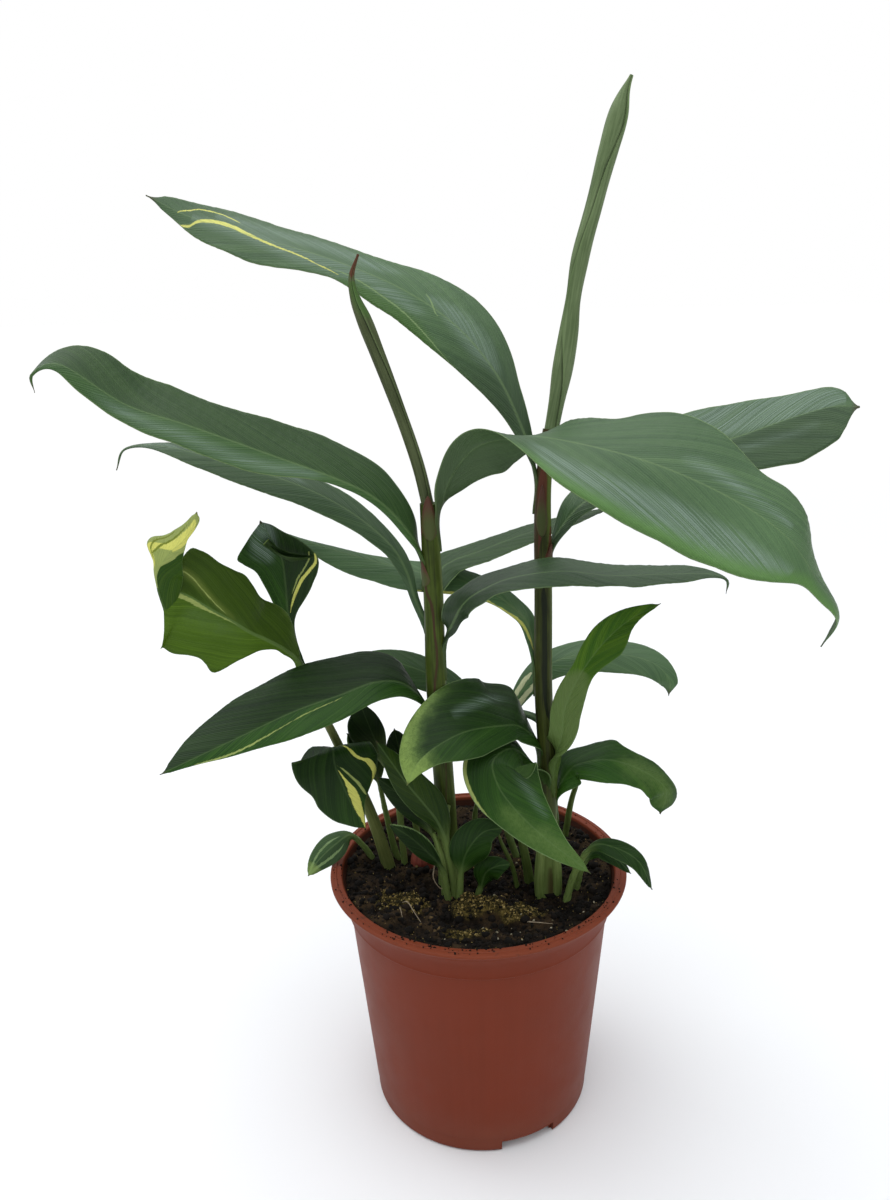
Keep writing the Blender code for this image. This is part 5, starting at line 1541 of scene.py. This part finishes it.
def draw_crumbs(draw):
    """Crumbs and clods of soil off the moss, and specks on the lip."""
    crumbs = []
    for place in scatter(CRUMBS, draw, lambda x, y, chance: chance > moss_at(x, y)[0]):
        size = 0.25 + 1.0 * draw.random() ** 3
        # painted shade: crumbs in the hollows between clods are darkest, on the crests they may be lighter
        crest = min(1, max(0, 0.5 + 1.2 * clod_rise(*place[:2])))
        crumbs.append((place, size, crest * draw.random() ** 1.6))
    for place in scatter(CLODS, draw, lambda x, y, chance: chance > moss_at(x, y)[0]):
        crumbs.append((place, draw.uniform(1.0, 2.3), 0.5 * draw.random() ** 2))
    for _ in range(LIP_SPECKS):
        angle, radius = draw.gauss(-math.pi / 2, 1.1), draw.uniform(*LIP_TOP)
        place = np.array((*on_circle(radius, angle), RIM_HEIGHT + 0.1))
        crumbs.append((place, draw.uniform(0.2, 0.6), 0.25))
    return crumbs


def draw_moss(draw):
    """Fine grains on the mossy lumps, and a few elsewhere."""
    moss = []
    for place in scatter(MOSS_GRAINS, draw, lambda x, y, chance: chance < moss_at(x, y)[0] + 0.02, 0.2):
        fine = 0.2 + 0.5 * draw.random() * (0.4 + 0.6 * min(1, 2 * moss_at(*place[:2])[0]))
        moss.append((place, fine, draw.random() ** 1.3))
    return moss


def draw_perlite(draw):
    """Pale grains, closest together at the front edge of the soil."""
    places = scatter(PERLITE_GRAINS, draw, lambda x, y, chance: chance < 0.3 or y < -38, 0.3)
    return [(place, draw.uniform(0.3, 0.75), draw.random()) for place in places]


def make_grains():
    draw = random.Random(GRAIN_SEED)
    for name, grains in (
        ("soil_crumbs", draw_crumbs(draw)), ("moss", draw_moss(draw)), ("perlite", draw_perlite(draw)),
    ):
        dress(add_object(name, grains_mesh(name, grains), grain_look(name, GRAIN_COLOURS[name])), "soil")


def make_roots():
    """Thin pale roots that lie on the soil."""
    look = Look("roots", roughness=0.7, specular=0.3)
    fine = look.noise(look.place(), 600, 3)
    look.finish("Base Color", look.mix(fine, (0.20, 0.13, 0.08), (0.42, 0.36, 0.25)))
    for k, points in enumerate(ROOTS):
        name = f"root_{k}"
        lying = [(x, y, z + soil_height(x, y) - SOIL_HEIGHT - 1) for x, y, z in points]
        mesh = rod_mesh(name, lying, ROOT_RADIUS * (1 - 0.6 * even(ROOT_RINGS)), ROOT_SIDES)
        dress(add_object(name, mesh, look.material), "soil")


def make_floor():
    """A pale floor that turns into the white surround far out."""
    shape = bmesh.new()
    bmesh.ops.create_circle(shape, cap_ends=True, segments=96, radius=FLOOR_RADIUS)
    mesh = bpy.data.meshes.new("floor")
    shape.to_mesh(mesh)
    shape.free()
    look = Look("floor", roughness=0.9, specular=0.1)
    grain = look.noise(look.place(), 2.0, 2)
    distance = look.node("VectorMath", {0: look.place()}, operation="LENGTH").outputs["Value"]
    far = look.between(distance, *FLOOR_FADE)
    pale = look.mix(grain, (0.83, 0.83, 0.83), (0.85, 0.85, 0.85))
    look.finish("Base Color", look.mix(far, pale, (0.0, 0.0, 0.0)))
    look.finish("Emission Color", BACKDROP)
    look.finish("Emission Strength", far)
    mesh.materials.append(look.material)
    floor = bpy.data.objects.new("floor", mesh)
    bpy.context.scene.collection.objects.link(floor)


def make_surround():
    """White behind the plant, and as a light brighter overhead than at the horizon."""
    world = bpy.data.worlds.new("surround")
    world.use_nodes = True
    bpy.context.scene.world = world
    nodes, link = world.node_tree.nodes, world.node_tree.links.new
    kinds = ("Background", "LightPath", "MixShader", "ValToRGB", "SeparateXYZ", "TexCoord")
    seen, path, choice, ramp, axes, where = (nodes.new("ShaderNode" + kind) for kind in kinds)
    back = nodes["Background"]
    seen.inputs["Color"].default_value = BACKDROP
    link(path.outputs["Is Camera Ray"], choice.inputs[0])
    link(back.outputs[0], choice.inputs[1])
    link(seen.outputs[0], choice.inputs[2])
    link(choice.outputs[0], nodes["World Output"].inputs["Surface"])
    link(where.outputs["Generated"], axes.inputs[0])
    link(axes.outputs[2], ramp.inputs["Fac"])
    link(ramp.outputs[0], back.inputs["Color"])
    for stop, (height, level) in zip(ramp.color_ramp.elements, SKY):
        stop.position = height
        stop.color = (*level, 1)


def make_lights():
    for name, place, aim, size, power, colour in LIGHTS:
        lamp = bpy.data.lights.new(name, "AREA")
        lamp.shape = "RECTANGLE"
        lamp.size, lamp.size_y = size
        lamp.energy = power
        lamp.color = colour
        light = bpy.data.objects.new(name, lamp)
        light.location = place
        light.rotation_euler = (Vector(aim) - Vector(place)).to_track_quat("-Z", "Y").to_euler()
        bpy.context.scene.collection.objects.link(light)


def make_camera():
    tilt, roll = math.radians(CAMERA_TILT), math.radians(CAMERA_ROLL)
    forward = Vector((0, math.cos(tilt), -math.sin(tilt)))
    up = Vector((0, math.sin(tilt), math.cos(tilt)))
    right = Vector((1, 0, 0))
    side = right * math.cos(roll) + up * math.sin(roll)
    top = up * math.cos(roll) - right * math.sin(roll)
    data = bpy.data.cameras.new("camera")
    data.lens = CAMERA_LENS
    data.sensor_width = CAMERA_SENSOR
    data.clip_start = 0.01
    camera = bpy.data.objects.new("camera", data)
    turn = Matrix((side, top, -forward)).transposed()
    camera.matrix_world = Matrix.Translation(CAMERA_PLACE) @ turn.to_4x4()
    bpy.context.scene.collection.objects.link(camera)
    bpy.context.scene.camera = camera


clear_scene()
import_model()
for group in (HOME, TOOLS):
    bpy.context.scene.collection.children.link(bpy.data.collections.new(group))
bpy.context.scene.view_settings.view_transform = "Standard"
make_camera()
make_floor()
make_surround()
make_lights()
make_pot()
make_soil()
make_grains()
make_roots()
make_stems()
make_cluster_sheaths()
make_spears()
make_sheath_tips()
make_leaves()
